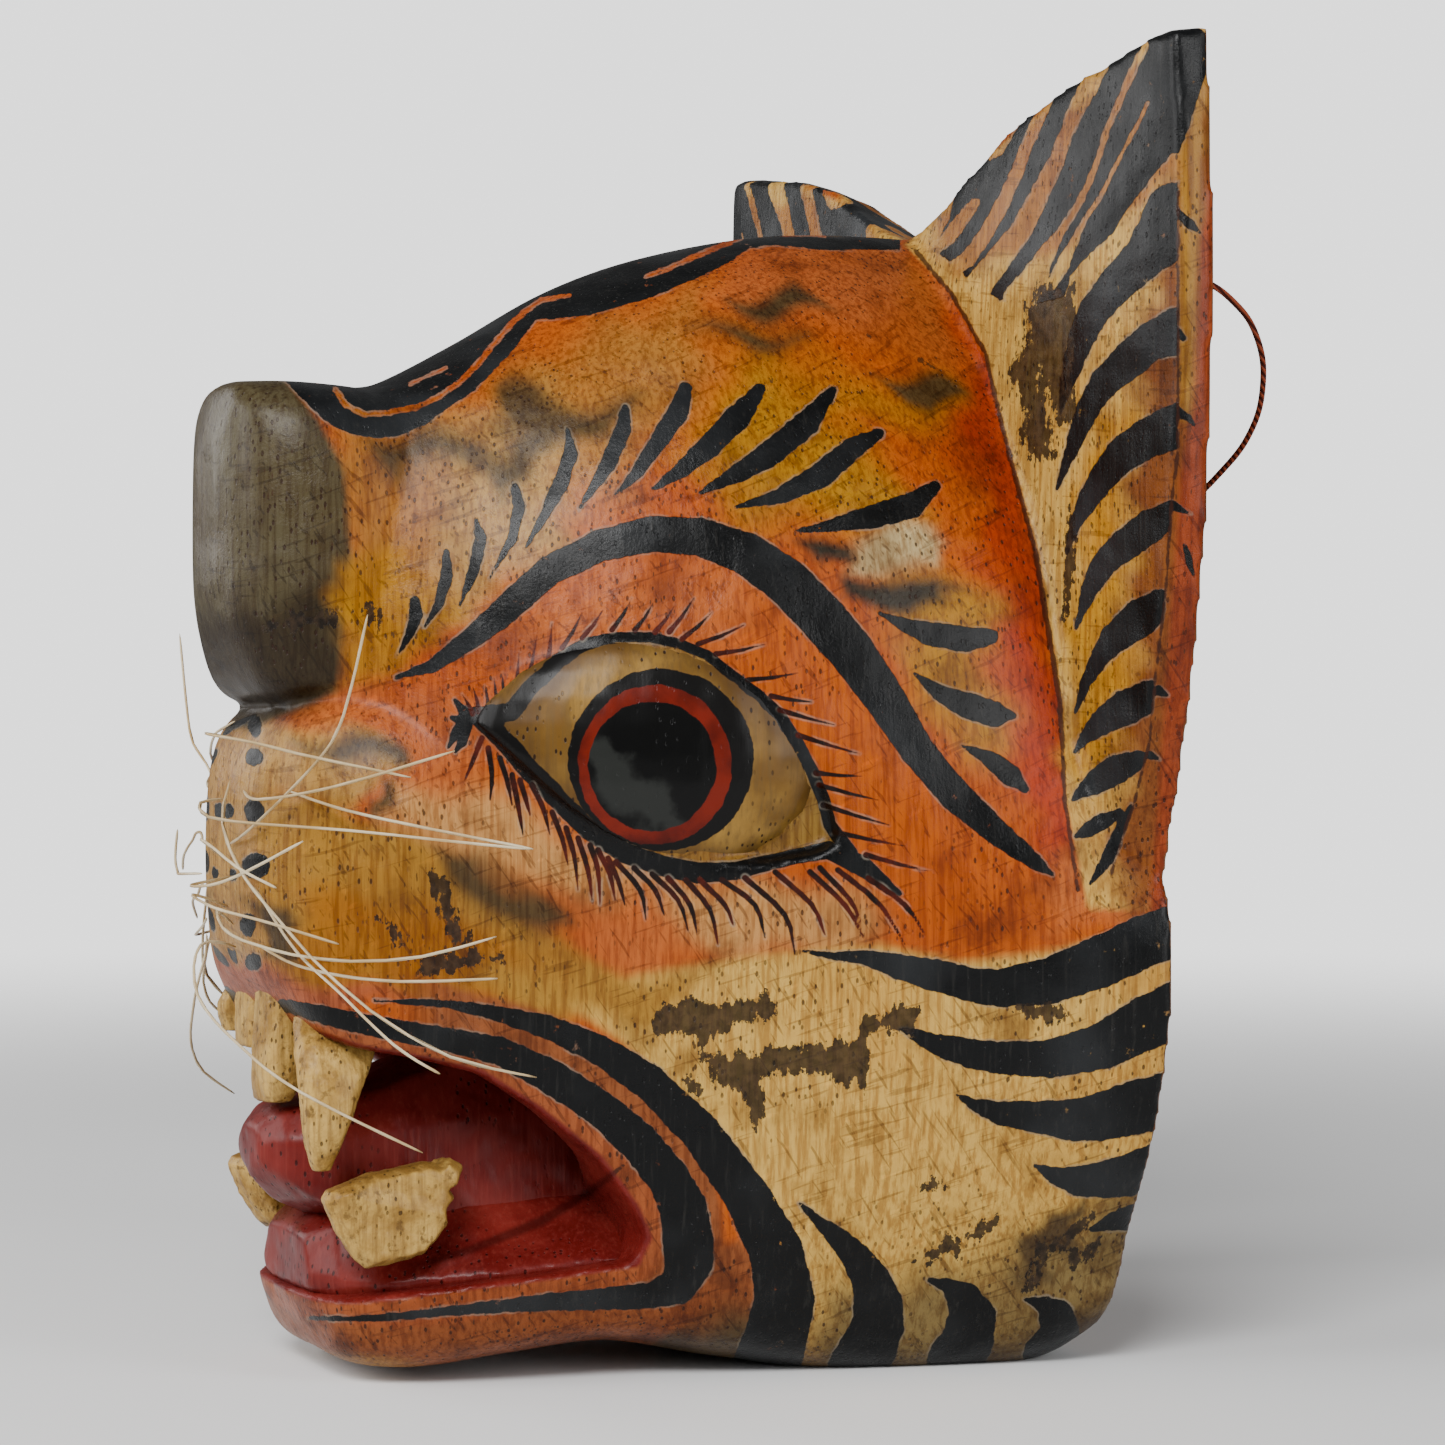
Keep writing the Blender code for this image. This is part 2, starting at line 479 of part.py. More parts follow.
def carve_mask(wood):
    head, joined = blank_forms(wood)
    for form in joined:
        boolean(head, form, "UNION")
    mouth = prism(MOUTH, lambda depth: -MOUTH_REACH, lambda depth: MOUTH_REACH)
    boolean(head, place("mouth_cutter", mouth, wood, True), "DIFFERENCE")
    cavity = place("mouth_cavity", ellipsoid(*MOUTH_CAVITY), wood, True)
    boolean(head, cavity, "DIFFERENCE")
    tongue = place("tongue", loft(section_rings(TONGUE, *DETAIL_STEPS)), wood, True)
    boolean(head, tongue, "UNION")
    gum = place("gum", loft(section_rings(GUM, *DETAIL_STEPS)), wood, True)
    boolean(head, gum, "UNION")
    teeth = (
        ("upper_canine", UPPER_CANINE),
        ("broken_canine", BROKEN_CANINE),
        ("near_incisor", NEAR_INCISOR),
        ("far_incisor", FAR_INCISOR),
    )
    for name, rings in teeth:
        boolean(head, place(name, tooth(rings), wood, True), "UNION")
    for side, name in ((1, "left"), (-1, "right")):
        canine = leaf_tooth(LOWER_CANINE, LOWER_CANINE_STEPS, side)
        boolean(head, place(f"lower_canine_{name}", canine, wood, True), "UNION")
    for side, name in ((1, "left"), (-1, "right")):
        socket, ball = eye_forms(side, name, wood)
        boolean(head, socket, "DIFFERENCE")
        boolean(head, ball, "UNION")
    boolean(head, place("hollow", hollow_form(), wood, True), "DIFFERENCE")
    for side, name in ((1, "left"), (-1, "right")):
        boolean(head, place(f"cord_hole_{name}", cord_hole(side), wood, True), "DIFFERENCE")
    far = MASK_HEIGHT
    back_saw = block((-far, 0, -far), (far, far, 2 * far))
    boolean(head, place("back_saw", back_saw, wood, True), "DIFFERENCE")
    foot_saw = block((-far, -far, -far), (far, 2 * far, 0))
    boolean(head, place("foot_saw", foot_saw, wood, True), "DIFFERENCE")
    return head


def cord_hole(side):
    """The blind hole in the back of the rim that the cord's end sits in."""
    x, _, z = CORD[0]
    radius = (CORD_DIAMETER / 2 + TOUCH_GAP) / math.cos(math.pi / CORD_HOLE_SIDES)
    rings = []
    for depth in (-1.0, CORD_HOLE_DEPTH / U):
        ring = []
        for k in range(CORD_HOLE_SIDES):
            angle = 2 * math.pi * k / CORD_HOLE_SIDES
            ring.append((
                side * x * U + radius * math.cos(angle),
                -depth * U,
                z * U + radius * math.sin(angle),
            ))
        rings.append(ring)
    return loft(rings)


def surface_of(thing):
    """The finished surface of an object, to measure distances from."""
    bpy.context.view_layer.update()
    return BVHTree.FromObject(thing, bpy.context.evaluated_depsgraph_get())


def held_off(points, surface, clearance):
    """A route from where it comes out of the surface, kept at least the clearance away from it."""
    out = []
    for point in points:
        near, normal, _, gap = surface.find_nearest(point)
        if (point - near).dot(normal) < 0:
            gap = -gap
        if gap < clearance:
            if len(out) == 1:
                out.pop()
            point = near + normal * clearance
        out.append(point)
    return out


def along(points, pace):
    """Places along a route, this far apart or closer."""
    out = [points[0]]
    for start, end in zip(points, points[1:]):
        count = math.ceil((end - start).length / pace)
        out += [start.lerp(end, k / count) for k in range(1, count + 1)]
    return out


def spread(points, others, side):
    """A route moved out and forwards, all but its root, until it passes clear of the others."""
    outwards = Vector((side, -1, 0)).normalized()
    for _ in range(20):
        places = np.array([place[:] for place in along(points, WHISKER_DIAMETER)])
        gaps = [np.min(np.linalg.norm(places[:, None] - other, axis=2)) for other in others]
        if min(gaps, default=1.0) >= WHISKER_PASS:
            break
        for number, point in enumerate(points):
            point += outwards * WHISKER_PASS / 2 * min(1, number / 2)
    others.append(places)
    return points


def tube(name, points, diameter, roundness, made_of):
    """A round tube on a route, as a curve with filled caps."""
    data = bpy.data.curves.new(name, "CURVE")
    data.dimensions = "3D"
    data.bevel_depth = diameter / 2
    data.bevel_resolution = roundness
    data.use_fill_caps = True
    path = data.splines.new("POLY")
    path.points.add(len(points) - 1)
    for spot, point in zip(path.points, points):
        spot.co = (*point, 1.0)
    data.materials.append(made_of)
    made = bpy.data.objects.new(name, data)
    bpy.context.scene.collection.objects.link(made)
    return made


def metres(x, depth, z):
    return Vector((x * U, -depth * U, z * U))


def add_whiskers(mask):
    """Bristles set in the muzzle, each from just clear of the wood to its free end."""
    surface = surface_of(mask)
    clearance = WHISKER_DIAMETER / 2 + TOUCH_GAP
    made = []
    for side, name in ((1, "left"), (-1, "right")):
        others = []
        for number, route in enumerate(WHISKERS, 1):
            title = f"whisker_{name}_{number:02d}"
            bristle = material(title, BRISTLE, 0.35)
            steps = math.ceil((WHISKER_POINTS - 1) / (len(route) - 1))
            points = []
            for x, depth, z in spline(route, steps):
                bow = max(0.0, depth - WHISKER_BOW_FROM)
                points.append(metres(side * x, depth - bow * (1 - WHISKER_BOW[side]), z))
            points = spread(held_off(points, surface, clearance), others, side)
            made.append(tube(title, points, WHISKER_DIAMETER, 0, bristle))
    return made


def add_cord():
    half = spline(CORD, CORD_STEPS)
    other = half[-2::-1] * (-1, 1, 1)
    points = [metres(*row) for row in np.concatenate([half, other])]
    return tube("hanging_cord", points, CORD_DIAMETER, 2, material("cord_fibre", CORD_BROWN, 0.8))


def stand_over_origin(mask, whiskers, cord):
    """Moves everything along Y so that the mask and whiskers are centred over the origin."""
    bpy.context.view_layer.update()
    low, high = 0.0, 0.0
    for thing in [mask] + whiskers:
        solid = thing.evaluated_get(bpy.context.evaluated_depsgraph_get())
        shape = solid.to_mesh()
        low = min([low] + [vert.co.y for vert in shape.vertices])
        high = max([high] + [vert.co.y for vert in shape.vertices])
        solid.to_mesh_clear()
    stand = bpy.data.objects.new("stand_point", None)
    bpy.context.scene.collection.objects.link(stand)
    for thing in bpy.data.objects:
        if thing is not stand:
            thing.parent = stand
    stand.location.y = -(low + high) / 2
    return stand.location.y


def main():
    clear_scene()
    mask = carve_mask(material("painted_wood", WOOD_PAINT, 0.45))
    whiskers = add_whiskers(mask)
    cord = add_cord()
    return stand_over_origin(mask, whiskers, cord)


SHIFT_Y = main()
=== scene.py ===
"""Dressed model of the carved tiger mask, in the frame of its CAD model.

The numbers of the form are the same as in part.py. Only the paint, the lights and the finer faces
are added here. Forms are given in units of the carver's grid, paint in pixels of the photograph.
"""

import json
import math

import bmesh
import bpy
import numpy as np
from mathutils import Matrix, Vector, noise
from mathutils.bvhtree import BVHTree

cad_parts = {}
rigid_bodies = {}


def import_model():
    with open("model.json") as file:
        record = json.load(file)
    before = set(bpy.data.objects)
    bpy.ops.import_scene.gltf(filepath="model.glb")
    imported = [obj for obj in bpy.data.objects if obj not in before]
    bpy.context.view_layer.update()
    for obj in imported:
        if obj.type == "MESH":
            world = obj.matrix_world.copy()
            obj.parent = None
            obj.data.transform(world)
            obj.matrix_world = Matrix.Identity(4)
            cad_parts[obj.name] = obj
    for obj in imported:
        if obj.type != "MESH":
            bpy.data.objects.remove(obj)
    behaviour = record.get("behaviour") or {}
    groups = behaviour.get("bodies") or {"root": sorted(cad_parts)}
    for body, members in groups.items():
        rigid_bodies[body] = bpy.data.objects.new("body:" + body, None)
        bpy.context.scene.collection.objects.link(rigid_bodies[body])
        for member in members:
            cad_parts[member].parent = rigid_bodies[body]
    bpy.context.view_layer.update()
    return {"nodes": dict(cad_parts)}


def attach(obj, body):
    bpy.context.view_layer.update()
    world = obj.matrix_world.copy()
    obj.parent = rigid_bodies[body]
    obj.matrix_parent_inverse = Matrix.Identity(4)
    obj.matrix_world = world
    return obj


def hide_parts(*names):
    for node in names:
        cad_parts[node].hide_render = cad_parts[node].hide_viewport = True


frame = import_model()
# How far the frame's origin lies in front of the mask's flat back
SHIFT_Y = 0.10321

# Driving sizes, in metres
MASK_HEIGHT = 0.300
HOLLOW_DEPTH = 0.075
HOLLOW_WALL = 0.016
RIM_THICKNESS = 0.0085
EAR_ROOT_THICKNESS = 0.0145
EYE_RECESS = 0.0030
EYE_BULGE = 0.0055
CORD_DIAMETER = 0.0014
CORD_HOLE_DEPTH = 0.0060
TOUCH_GAP = 0.0003

# One unit of the carver's grid
U = MASK_HEIGHT / 30
SIDES = ((1, "left"), (-1, "right"))


def rows(text):
    """A table from its text: numbers of a row joined by commas, rows set apart by spaces."""
    return tuple(tuple(map(float, row.split(","))) for row in text.split())


def tables(text):
    """Several tables from one text, set apart by slashes."""
    return tuple(map(rows, text.split("/")))


def areas(text):
    """Areas of paint from one text, set apart by slashes: paint, softness in pixels, outline."""
    parts = (area.split(maxsplit=2) for area in text.split("/"))
    return tuple((paint, float(soft), rows(outline)) for paint, soft, outline in parts)


def sections(text):
    """Sections of a form, one to a line: its depth, then its half section from top to bottom."""
    lines = (line.split(":") for line in text.strip().split("\n"))
    return tuple((float(depth), rows(half)) for depth, half in lines)


# Head, from behind the back plane to the front of the lower jaw. Each half section has ten points:
# top centre, crown, forehead, brow, eye, cheekbone, lip level, jaw side, jaw edge, bottom centre.
HEAD = sections("""
-0.5: 0,26.4 1.8,25 4.3,22 6.7,18.3 7.8,14.6 9.9,10.3 9.6,6.6 8.2,3.3 6.4,0.7 0,-0.1
0: 0,26.5 1.9,25.1 4.4,22.1 6.8,18.3 7.9,14.6 9.9,10.3 9.55,6.6 8.2,3.3 6.4,0.7 0,-0.1
1.5: 0,26.7 2.1,25.2 4.8,22.3 7.1,18.4 8.1,14.6 9.4,10.2 9.1,6.4 7.9,3 6,0 0,-0.2
5.2: 0,26.55 3,25 5.3,22 7,18.4 7.8,14.4 8.1,10.6 7.8,6.4 6.9,2.9 5.2,-0.05 0,-0.2
8.5: 0,25.85 3.2,24.4 5.3,21.6 6.6,18.4 7.2,14.4 7,10.6 6.5,6.4 6,2.7 4.7,0.5 0,0.2
11: 0,24.9 2.9,23.6 4.9,21 5.9,18.2 6.5,14.4 6.2,10.9 5.6,6.2 5.3,2.9 4.2,0.95 0,0.7
13.3: 0,23.55 2.6,22.6 4,20.4 4.9,17.9 5.4,14.6 5.3,11 4.9,6 4.7,2.7 3.7,0.75 0,0.5
15.3: 0,22.5 2.2,21.9 3.2,20 3.8,17.8 4.1,15.4 4.4,11.6 4.2,6 4.1,2.5 3.1,0.5 0,0.3
16.7: 0,22.2 1.8,21.6 2.6,19.8 2.9,17.8 3.1,15.4 3.2,11.6 3.2,6 3.3,2.5 2.6,0.72 0,0.5
17.25: 0,20.6 1.3,20.2 1.9,19 2.3,17.4 2.4,15 2.5,11.6 2.5,6 2.6,2.7 2,1.45 0,1.2
17.65: 0,19 0.9,18.7 1.3,18 1.6,16.8 1.7,15 1.8,11.6 1.8,6 1.9,3 1.3,2.4 0,2.2
""")

# Nose block: top centre, top corner, side, middle, lower side, bottom corner, bottom centre
NOSE = sections("""
13.6: 0,21.8 1.5,21.4 2.3,20.2 2.6,18.2 2.5,16.6 1.8,15.6 0,15.5
15.6: 0,22.3 1.8,22 2.75,20.9 3.2,18.4 3.15,16.4 2.5,15.4 0,15.3
17.2: 0,22.4 1.8,22.2 2.7,21.2 3.05,18.6 3,16.3 2.5,15.3 0,15.2
18.4: 0,22.4 1.5,22.2 2.3,21.3 2.6,18.7 2.5,16.6 1.9,15.5 0,15.3
19: 0,22.25 1.2,22.05 1.75,21.2 1.9,18.8 1.75,17.3 1.2,16.6 0,16.4
19.3: 0,21.3 0.6,21.1 0.85,20.6 0.9,19 0.8,18.1 0.5,17.8 0,17.7
""")

# Muzzle pad over the upper lip: top centre, top corner, upper side, middle, lower side, lip, bottom
MUZZLE = sections("""
9.5: 0,14 2.6,13.8 4,12.8 4.5,11.2 4.3,9.6 3.6,8.6 0,8.4
12.5: 0,15.3 3.2,15.1 4.5,13.6 5,11.4 4.8,9.3 4,7 0,6.6
15: 0,15.7 3,15.6 4.3,14.2 4.8,11.6 4.65,9.4 4.2,6.9 0,6.6
16.9: 0,15.5 2.6,15.35 3.8,14 4.2,11.6 4.1,9.6 3.7,7.2 0,7
18.1: 0,14.9 2,14.8 2.95,13.8 3.3,11.7 3.2,10 2.7,8.7 0,8.5
18.65: 0,14.2 1.2,14.1 1.9,13.4 2.15,11.9 2,10.6 1.5,9.7 0,9.5
18.85: 0,13.3 0.6,13.2 0.9,12.7 1,12 0.9,11.3 0.6,10.8 0,10.7
""")

# Outline of the ears and the side panels as seen from the front, from the notch between the ears
# over the tip and down the rim to the ledge over the cheek: (x, z) at the back, at the front edge
# of the rim, and where the panel runs in under the face
PANEL = tables("""
0,26.3 0,26.6 0,26.2 / 1.8,27 1.8,27.3 1,25.9 / 4.3,28.1 4.3,28.55 2.2,25 / 6.6,28.9 6.6,29.2 3,24
/ 8.8,29.5 8.8,29.55 3.7,23 / 10.9,30 10.8,29.85 4.3,22.2 / 11.35,30 11.3,29.8 4.8,21.4 /
11.55,27.5 11.5,27.5 5.3,20.6 / 11.65,24.4 11.6,24.4 5.9,19.6 / 11.6,21.8 11.45,21.8 6.3,18.6 /
11.4,19 11.15,19 6.7,17.2 / 11.05,16.6 10.75,16.6 7,15.6 / 10.8,15 10.35,15 7.1,14.2 / 10.4,13
9.7,13.2 7.2,12.8 / 10.1,11.4 8.9,11.5 7.2,11.6 / 9.3,10.7 8.2,10.8 6.4,10.9 / 0,10.7 0,10.8
0,10.9
""")
PANEL_HALF_WIDTH = 11.65
PANEL_ROOT_DEPTH = 1.75

# Side view of the open mouth: (depth, z), from the front over the lip line to the corner and back
MOUTH = rows("""
21,9.2 18.9,8.85 18.5,8.35 18,8 17,7.6 15.7,7.35 14.4,7 13.2,6.2 11.9,5.1 11.1,4 10.8,3.3 11,2.75
12.6,2.55 15,2.3 17,2 18,1.95 21,2.3
""")
MOUTH_REACH = 8.0

# Hollow behind the lips: centre and half sizes
MOUTH_CAVITY = ((0.0, 14.2, 5.9), (4.2, 5.2, 3.3))

# Tongue: top centre, top edge, side, lower edge, bottom centre
TONGUE = sections("""
8.3: 0,8.2 1.9,7.9 2.6,6.3 2.8,3.2 0,3
11.5: 0,8 1.8,7.7 2.5,6.1 2.75,3.2 0,3
14: 0,7.3 1.7,7.1 2.35,5.8 2.6,3.3 0,3
15.6: 0,6.6 1.5,6.5 2.2,5.5 2.35,3.5 0,3.2
16.9: 0,6.35 1.3,6.25 1.95,5.4 2.05,3.9 0,3.5
17.8: 0,6.1 1,6 1.5,5.4 1.5,4.5 0,3.95
18.3: 0,5.65 0.5,5.6 0.8,5.3 0.8,4.9 0,4.5
""")

# Gum under the tongue: top centre, top edge, lip, lower edge, bottom centre
GUM = sections("""
8.3: 0,4.3 2.8,4.1 4.5,2.8 4,1.5 0,1.2
11.5: 0,4.2 2.7,4 4.6,2.75 3.9,1.5 0,1.2
14: 0,4 2.5,3.9 4.05,2.5 3.4,1.5 0,1.2
16.2: 0,3.8 2.1,3.7 3.1,2.3 2.6,1.4 0,1.2
16.9: 0,3.65 1.8,3.55 2.5,2.3 2.2,1.8 0,1.6
17.42: 0,3.3 1.3,3.2 1.7,2.4 1.6,2.1 0,2
""")

# Almond of the eye in the side view: (depth, z), from the inner corner over the upper lid
EYE = rows("""
14.55,14.75 13.6,15.75 12.4,16.45 11.2,16.6 9.9,16.2 8.6,15.2 7.6,13.7 7.05,12.15 8,11.75 9.4,11.6
10.7,11.8 12.1,12.4 13.3,13.4
""")
EYE_INNER = (14.55, 5.1)
EYE_OUTER = (7.05, 7.35)
EYEBALL_CENTRE = (10.9, 14.0)
EYEBALL_HALF = (4.05, 2.85)
# How much wider than its socket the eyeball is cut, so that its edge is buried in the lids
EYEBALL_OVERLAP = 1.04

# Teeth, each as rings from the root to the tip: (x, depth, z, half thickness, half length)
UPPER_CANINE = rows("""
1.8,16.8,9.3,0.45,0.7 2.2,17,8.3,0.52,0.9 2.8,17.15,7.6,0.56,0.95 3.2,17.4,6.7,0.55,0.72
3.35,17.6,5.6,0.42,0.45 3.3,17.65,4.9,0.2,0.2
""")
NEAR_INCISOR = rows("""
1.15,17.7,9.6,0.9,0.5 1.15,17.8,7.6,0.95,0.52 1.1,17.85,6.7,0.9,0.48 0.95,17.9,6.2,0.7,0.36
""")
FAR_INCISOR = rows("-1,17.6,9.6,0.85,0.5 -1,17.7,7.9,0.88,0.5 -1,17.75,7.3,0.8,0.42")
BROKEN_CANINE = rows("-2.4,16.9,9.3,0.45,0.7 -2.95,17.15,8.2,0.55,0.95 -3.15,17.2,7.5,0.5,0.75")
# Side view of a lower canine: (depth, z) from its worn front end over the top
LOWER_CANINE = rows("""
17.72,4.3 17.59,4.51 16.7,4.81 15.2,5.06 14.96,4.93 14.78,5.14 14.45,4.89 14.57,4.56 14.85,4.49
14.64,4.23 14.89,3.96 14.82,3.63 15.03,3.36 15.41,2.98 16.06,2.83 16.75,2.74 17,2.95 17.41,3.59
""")
# Across the jaw, from its buried side outwards: (x, share of the outline)
LOWER_CANINE_STEPS = rows("2.7,0.8 3.1,0.95 3.65,1 3.95,0.85")
TOOTH_SIDES = 12

# Cord, from its hole in one side of the rim to the middle behind the mask: (x, depth, z)
CORD = rows("""
10.2,0.4,24.6 10.2,0,24.6 10.15,-0.6,24.55 9.85,-1.6,24.2 9.2,-2.7,23.5 8.4,-3.4,22.5
7.5,-3.65,21.5 6.4,-3.5,20.6 4.8,-3.1,19.6 2.5,-2.75,18.8 0,-2.65,18.5
""")
CORD_HOLE_SIDES = 12

# Share of the section that the hollow keeps on its way to its front
HOLLOW_ROUNDING = rows("0,1 0.35,0.98 0.62,0.91 0.82,0.78 0.95,0.6 1,0.45")
HOLLOW_CENTRE_Z = 12.5
HOLLOW_GUIDE_X = 7.9

# Steps between two rows of a table, along the form and round its section
HEAD_STEPS = (6, 8)
DETAIL_STEPS = (4, 8)
PLANE_STEPS = (1, 1)
TOOTH_STEPS = 5
CAVITY_SEGMENTS = (48, 28)

# Even faces of the pieces, in metres, and how often they are smoothed
CARVING_MESH = (0.0013, 3)
EYE_MESH = (0.0009, 2)
MOUTH_MESH = (0.0012, 3)
TOOTH_MESH = (0.0006, 2)
# Cuts of the knife: size and depth
MOUTH_CUTS = (0.006, 0.0004)
TOOTH_CUTS = (0.004, 0.0004)
EYE_LIFT = 0.0002
RIDGE_LIFT = 0.0008
# The lip covers the root of the near incisor, which stands this much further in than in the solids
INCISOR_SHIFT = (-0.0035, 0, 0)

# Painted strokes, as (x, y, half width) rows, and outlines, as (x, y) rows, in pixels of the
# photograph.
BROW = rows("""
396,677,2 432,666,7 462,645,10 500,615,14 550,570,15 600,546,16 650,534,18 700,537,19 745,553,21
785,580,23 820,615,24 850,650,23 879,690,21 917,750,17 955,795,16 1000,835,13 1035,862,8
1052,874,2
""")
FEATHERS = tables("""
415,600,5 416,615,7 409,635,4.5 397,656,1 / 446,552,3 447,575,6.5 439,603,5 425,627,1 /
476,520,2.5 481,539,6 473,571,6 460,605,1.5 / 515,487,4 519,507,6 512,539,5 489,579,1 /
567,428,1.5 571,453,7 560,485,8 544,516,5 526,547,1 / 625,408,4 623,430,9 607,466,8 589,494,4
579,510,1 / 685,389,7 678,412,11 657,444,9 635,475,6 614,496,1 / 760,389,6 739,416,13 707,448,12
680,471,8 653,489,2 / 832,391,5 807,423,13 771,453,13 735,475,9 700,493,2 / 878,434,6 853,448,11
821,475,13 780,496,8 735,507,1.5 / 935,487,6 912,505,13 875,516,12 835,525,7 796,531,1.5 /
991,637,8 965,639,13 930,634,12 905,625,7 879,613,1.5 / 1014,716,3 994,714,13 966,705,13 939,693,8
914,673,1.5 / 1025,789,4 1010,775,11 989,758,8 962,746,1.5
""")
LIDS = tables("""
466,716,5.2 475,716,9.1 512,712,9.1 530,689,8.5 557,662,7.8 585,644,6.5 616,637,5.2 650,637,5.2
680,644,5.2 707,655,5.2 730,673,5.2 757,694,5.9 780,716,6.5 798,744,6.5 812,771,6.5 823,798,6.5
830,825,6.5 850,853,7.8 / 480,719,9.1 503,739,10.4 530,771,10.4 562,803,10.4 589,830,10.4
625,853,10.4 662,866,10.4 698,873,10.4 735,871,9.1 771,862,7.8 803,855,7.8 828,850,9.1
862,866,10.4 880,880,7.8 900,894,2.6 / 455,700,1.5 468,716,7.8 455,735,5.2 448,748,1 / 452,718,2.6
466,722,7.8 462,742,5.2 455,752,1
""")
# Upper lashes: tip and base points of each
LASHES = rows("""
462,694,473,714 473,687,479,712 485,685,488,711 494,678,496,710 502,673,503,707 519,653,514,698
537,635,525,689 552,623,546,671 582,613,562,648 603,610,582,638 632,598,612,630 653,603,635,630
675,605,655,632 694,598,669,632 712,612,682,639 744,625,698,644 766,644,716,654 798,673,748,680
812,702,771,696 835,725,780,710 860,754,798,735 862,776,816,773 878,800,819,785 889,825,823,805
905,846,835,832 932,872,866,855
""")
# Lower lashes: tip, middle and base points of each
LOWER_LASHES = rows("""
465,780,474,758,482,738 490,800,492,775,488,748 512,805,507,780,500,758 523,835,518,805,512,775
530,815,526,800,520,780 550,835,543,808,532,785 568,865,562,838,552,812 578,890,574,855,566,828
592,900,588,870,578,838 600,905,598,870,590,845 615,900,610,875,598,850 625,905,618,880,608,858
646,920,640,890,616,862 664,915,655,890,634,868 688,930,678,900,652,874 697,935,690,905,668,878
718,945,710,910,686,880 733,925,725,905,700,880 765,938,755,905,722,880 795,955,785,915,745,878
825,935,812,905,775,872 865,940,845,905,810,872 862,925,850,900,820,868 905,945,880,905,838,870
925,935,905,905,868,878
""")
PANEL_STROKES = tables("""
1178,218,36 1160,240,28 1145,256,22 1115,286,18 1095,310,16 1080,342,13 1068,380,8 1060,415,1.5 /
1178,331,24 1150,342,19 1125,364,18 1105,382,15 1090,405,12 1075,440,8 1057,489,1.5 / 1178,426,23
1150,437,20 1125,452,18 1105,475,14 1090,497,11 1075,526,6 1066,554,1.5 / 1187,512,1.5 1174,510,11
1150,526,17 1125,545,16 1105,562,13 1090,588,9 1076,628,1.5 / 1171,598,6 1160,603,14 1140,618,19
1115,638,15 1100,657,10 1086,682,6 1075,713,1.5 / 1160,690,3 1150,696,16 1125,708,18 1102,722,13
1086,737,7 1075,752,1.5 / 1155,757,2 1138,760,10 1115,770,15 1095,783,12 1080,793,6 1072,800,1.5 /
1120,812,4 1105,820,8 1090,829,8 1076,836,3 / 1131,806,3 1122,830,8 1108,858,7 1090,884,1.5
""")
PANEL_MARKS = tables("""
1176,212,4 1190,224,5 1200,233,1 / 1178,330,3 1183,338,3 / 1176,410,5 1188,418,4 1195,426,1 /
1172,505,5 1182,510,3 1190,514,1 / 1184,545,2 1189,560,4 1194,576,1 / 1158,690,5 1168,696,1 /
1150,755,4 1160,760,1 / 1184,62,4 1181,85,5 1184,105,4 1182,130,3
""")
PANEL_BORDER = rows("1178,150 1178,450 1172,500 1165,600 1155,680 1150,740 1135,800 1112,870")
EYE_OPENING = rows("""
476,717 512,712 530,689 557,662 585,644 616,637 650,637 680,644 707,655 730,673 757,694 780,716
798,744 812,771 823,798 830,825 845,853 828,852 803,857 771,864 735,872 698,874 662,867 625,854
589,831 562,804 530,772 503,740
""")
EAR_BLACK = rows("""
930,235 955,185 1000,135 1048,90 1100,60 1150,38 1190,22 1216,40 1188,130 1172,170 1150,200
1130,232 1108,258 1072,296 1050,300 1030,305 1000,300 975,285 950,262 935,250
""")
EAR_LIGHTS = tables("""
953,195,2 945,215,5 936,235,5 930,248,3 / 975,203,5 960,222,7 948,238,7 935,250,5 / 1016,125,3
1005,140,5 998,150,6 990,158,2 / 973,160,2 963,175,2 / 1052,93,3 1047,103,5 1037,123,6 1025,150,6
1017,172,6 1003,203,7 987,233,7 967,260,8 947,270,6 / 1100,67,8 1087,90,9 1075,113,8 1065,137,7
1057,160,8 1045,183,9 1033,207,10 1020,233,11 1000,257,12 980,283,14 967,300,14 / 1146,45,3
1133,70,4 1120,100,3.5 1107,130,3 1100,153,3 1090,180,3 1077,207,4 1060,233,4.5 1047,253,8
1033,280,14 1020,297,16 / 1148,103,1.5 1133,133,2 1117,163,2 1100,197,2 1083,223,2.5 1070,250,5
1060,270,7 1050,287,4 / 1177,163,10 1163,180,10 1147,200,10 1133,220,10 1123,240,12 1107,260,16
1087,283,18 1073,300,10
""")
CHEEK_STRIPES = tables("""
803,951,1.5 835,956,4 864,957,7 900,967,13 934,975,16 973,985,17 1000,988,19 1050,981,23
1100,962,26 1143,942,26 1200,922,26 / 900,1029,1.5 915,1035,6 938,1045,11 973,1054,15 1000,1058,16
1050,1059,19 1100,1047,23 1150,1021,27 1200,1000,29 / 957,1095,1.5 977,1106,7 1000,1113,12
1038,1117,16 1073,1120,21 1100,1117,24 1134,1108,27 1200,1092,28 / 1036,1166,2 1056,1176,9
1077,1181,15 1100,1180,18 1125,1176,21 1200,1150,23 / 1092,1229,3 1108,1223,8 1125,1219,12
1180,1205,14 / 799,1203,1.5 820,1222,6 840,1240,11 857,1258,15 871,1280,20 878,1302,24 878,1325,26
868,1350,28 855,1370,28 / 929,1280,2 948,1286,8 965,1300,18 972,1318,24 968,1340,26 955,1362,28 /
1026,1300,2 1045,1305,9 1057,1317,18 1060,1335,20 1045,1355,22
""")
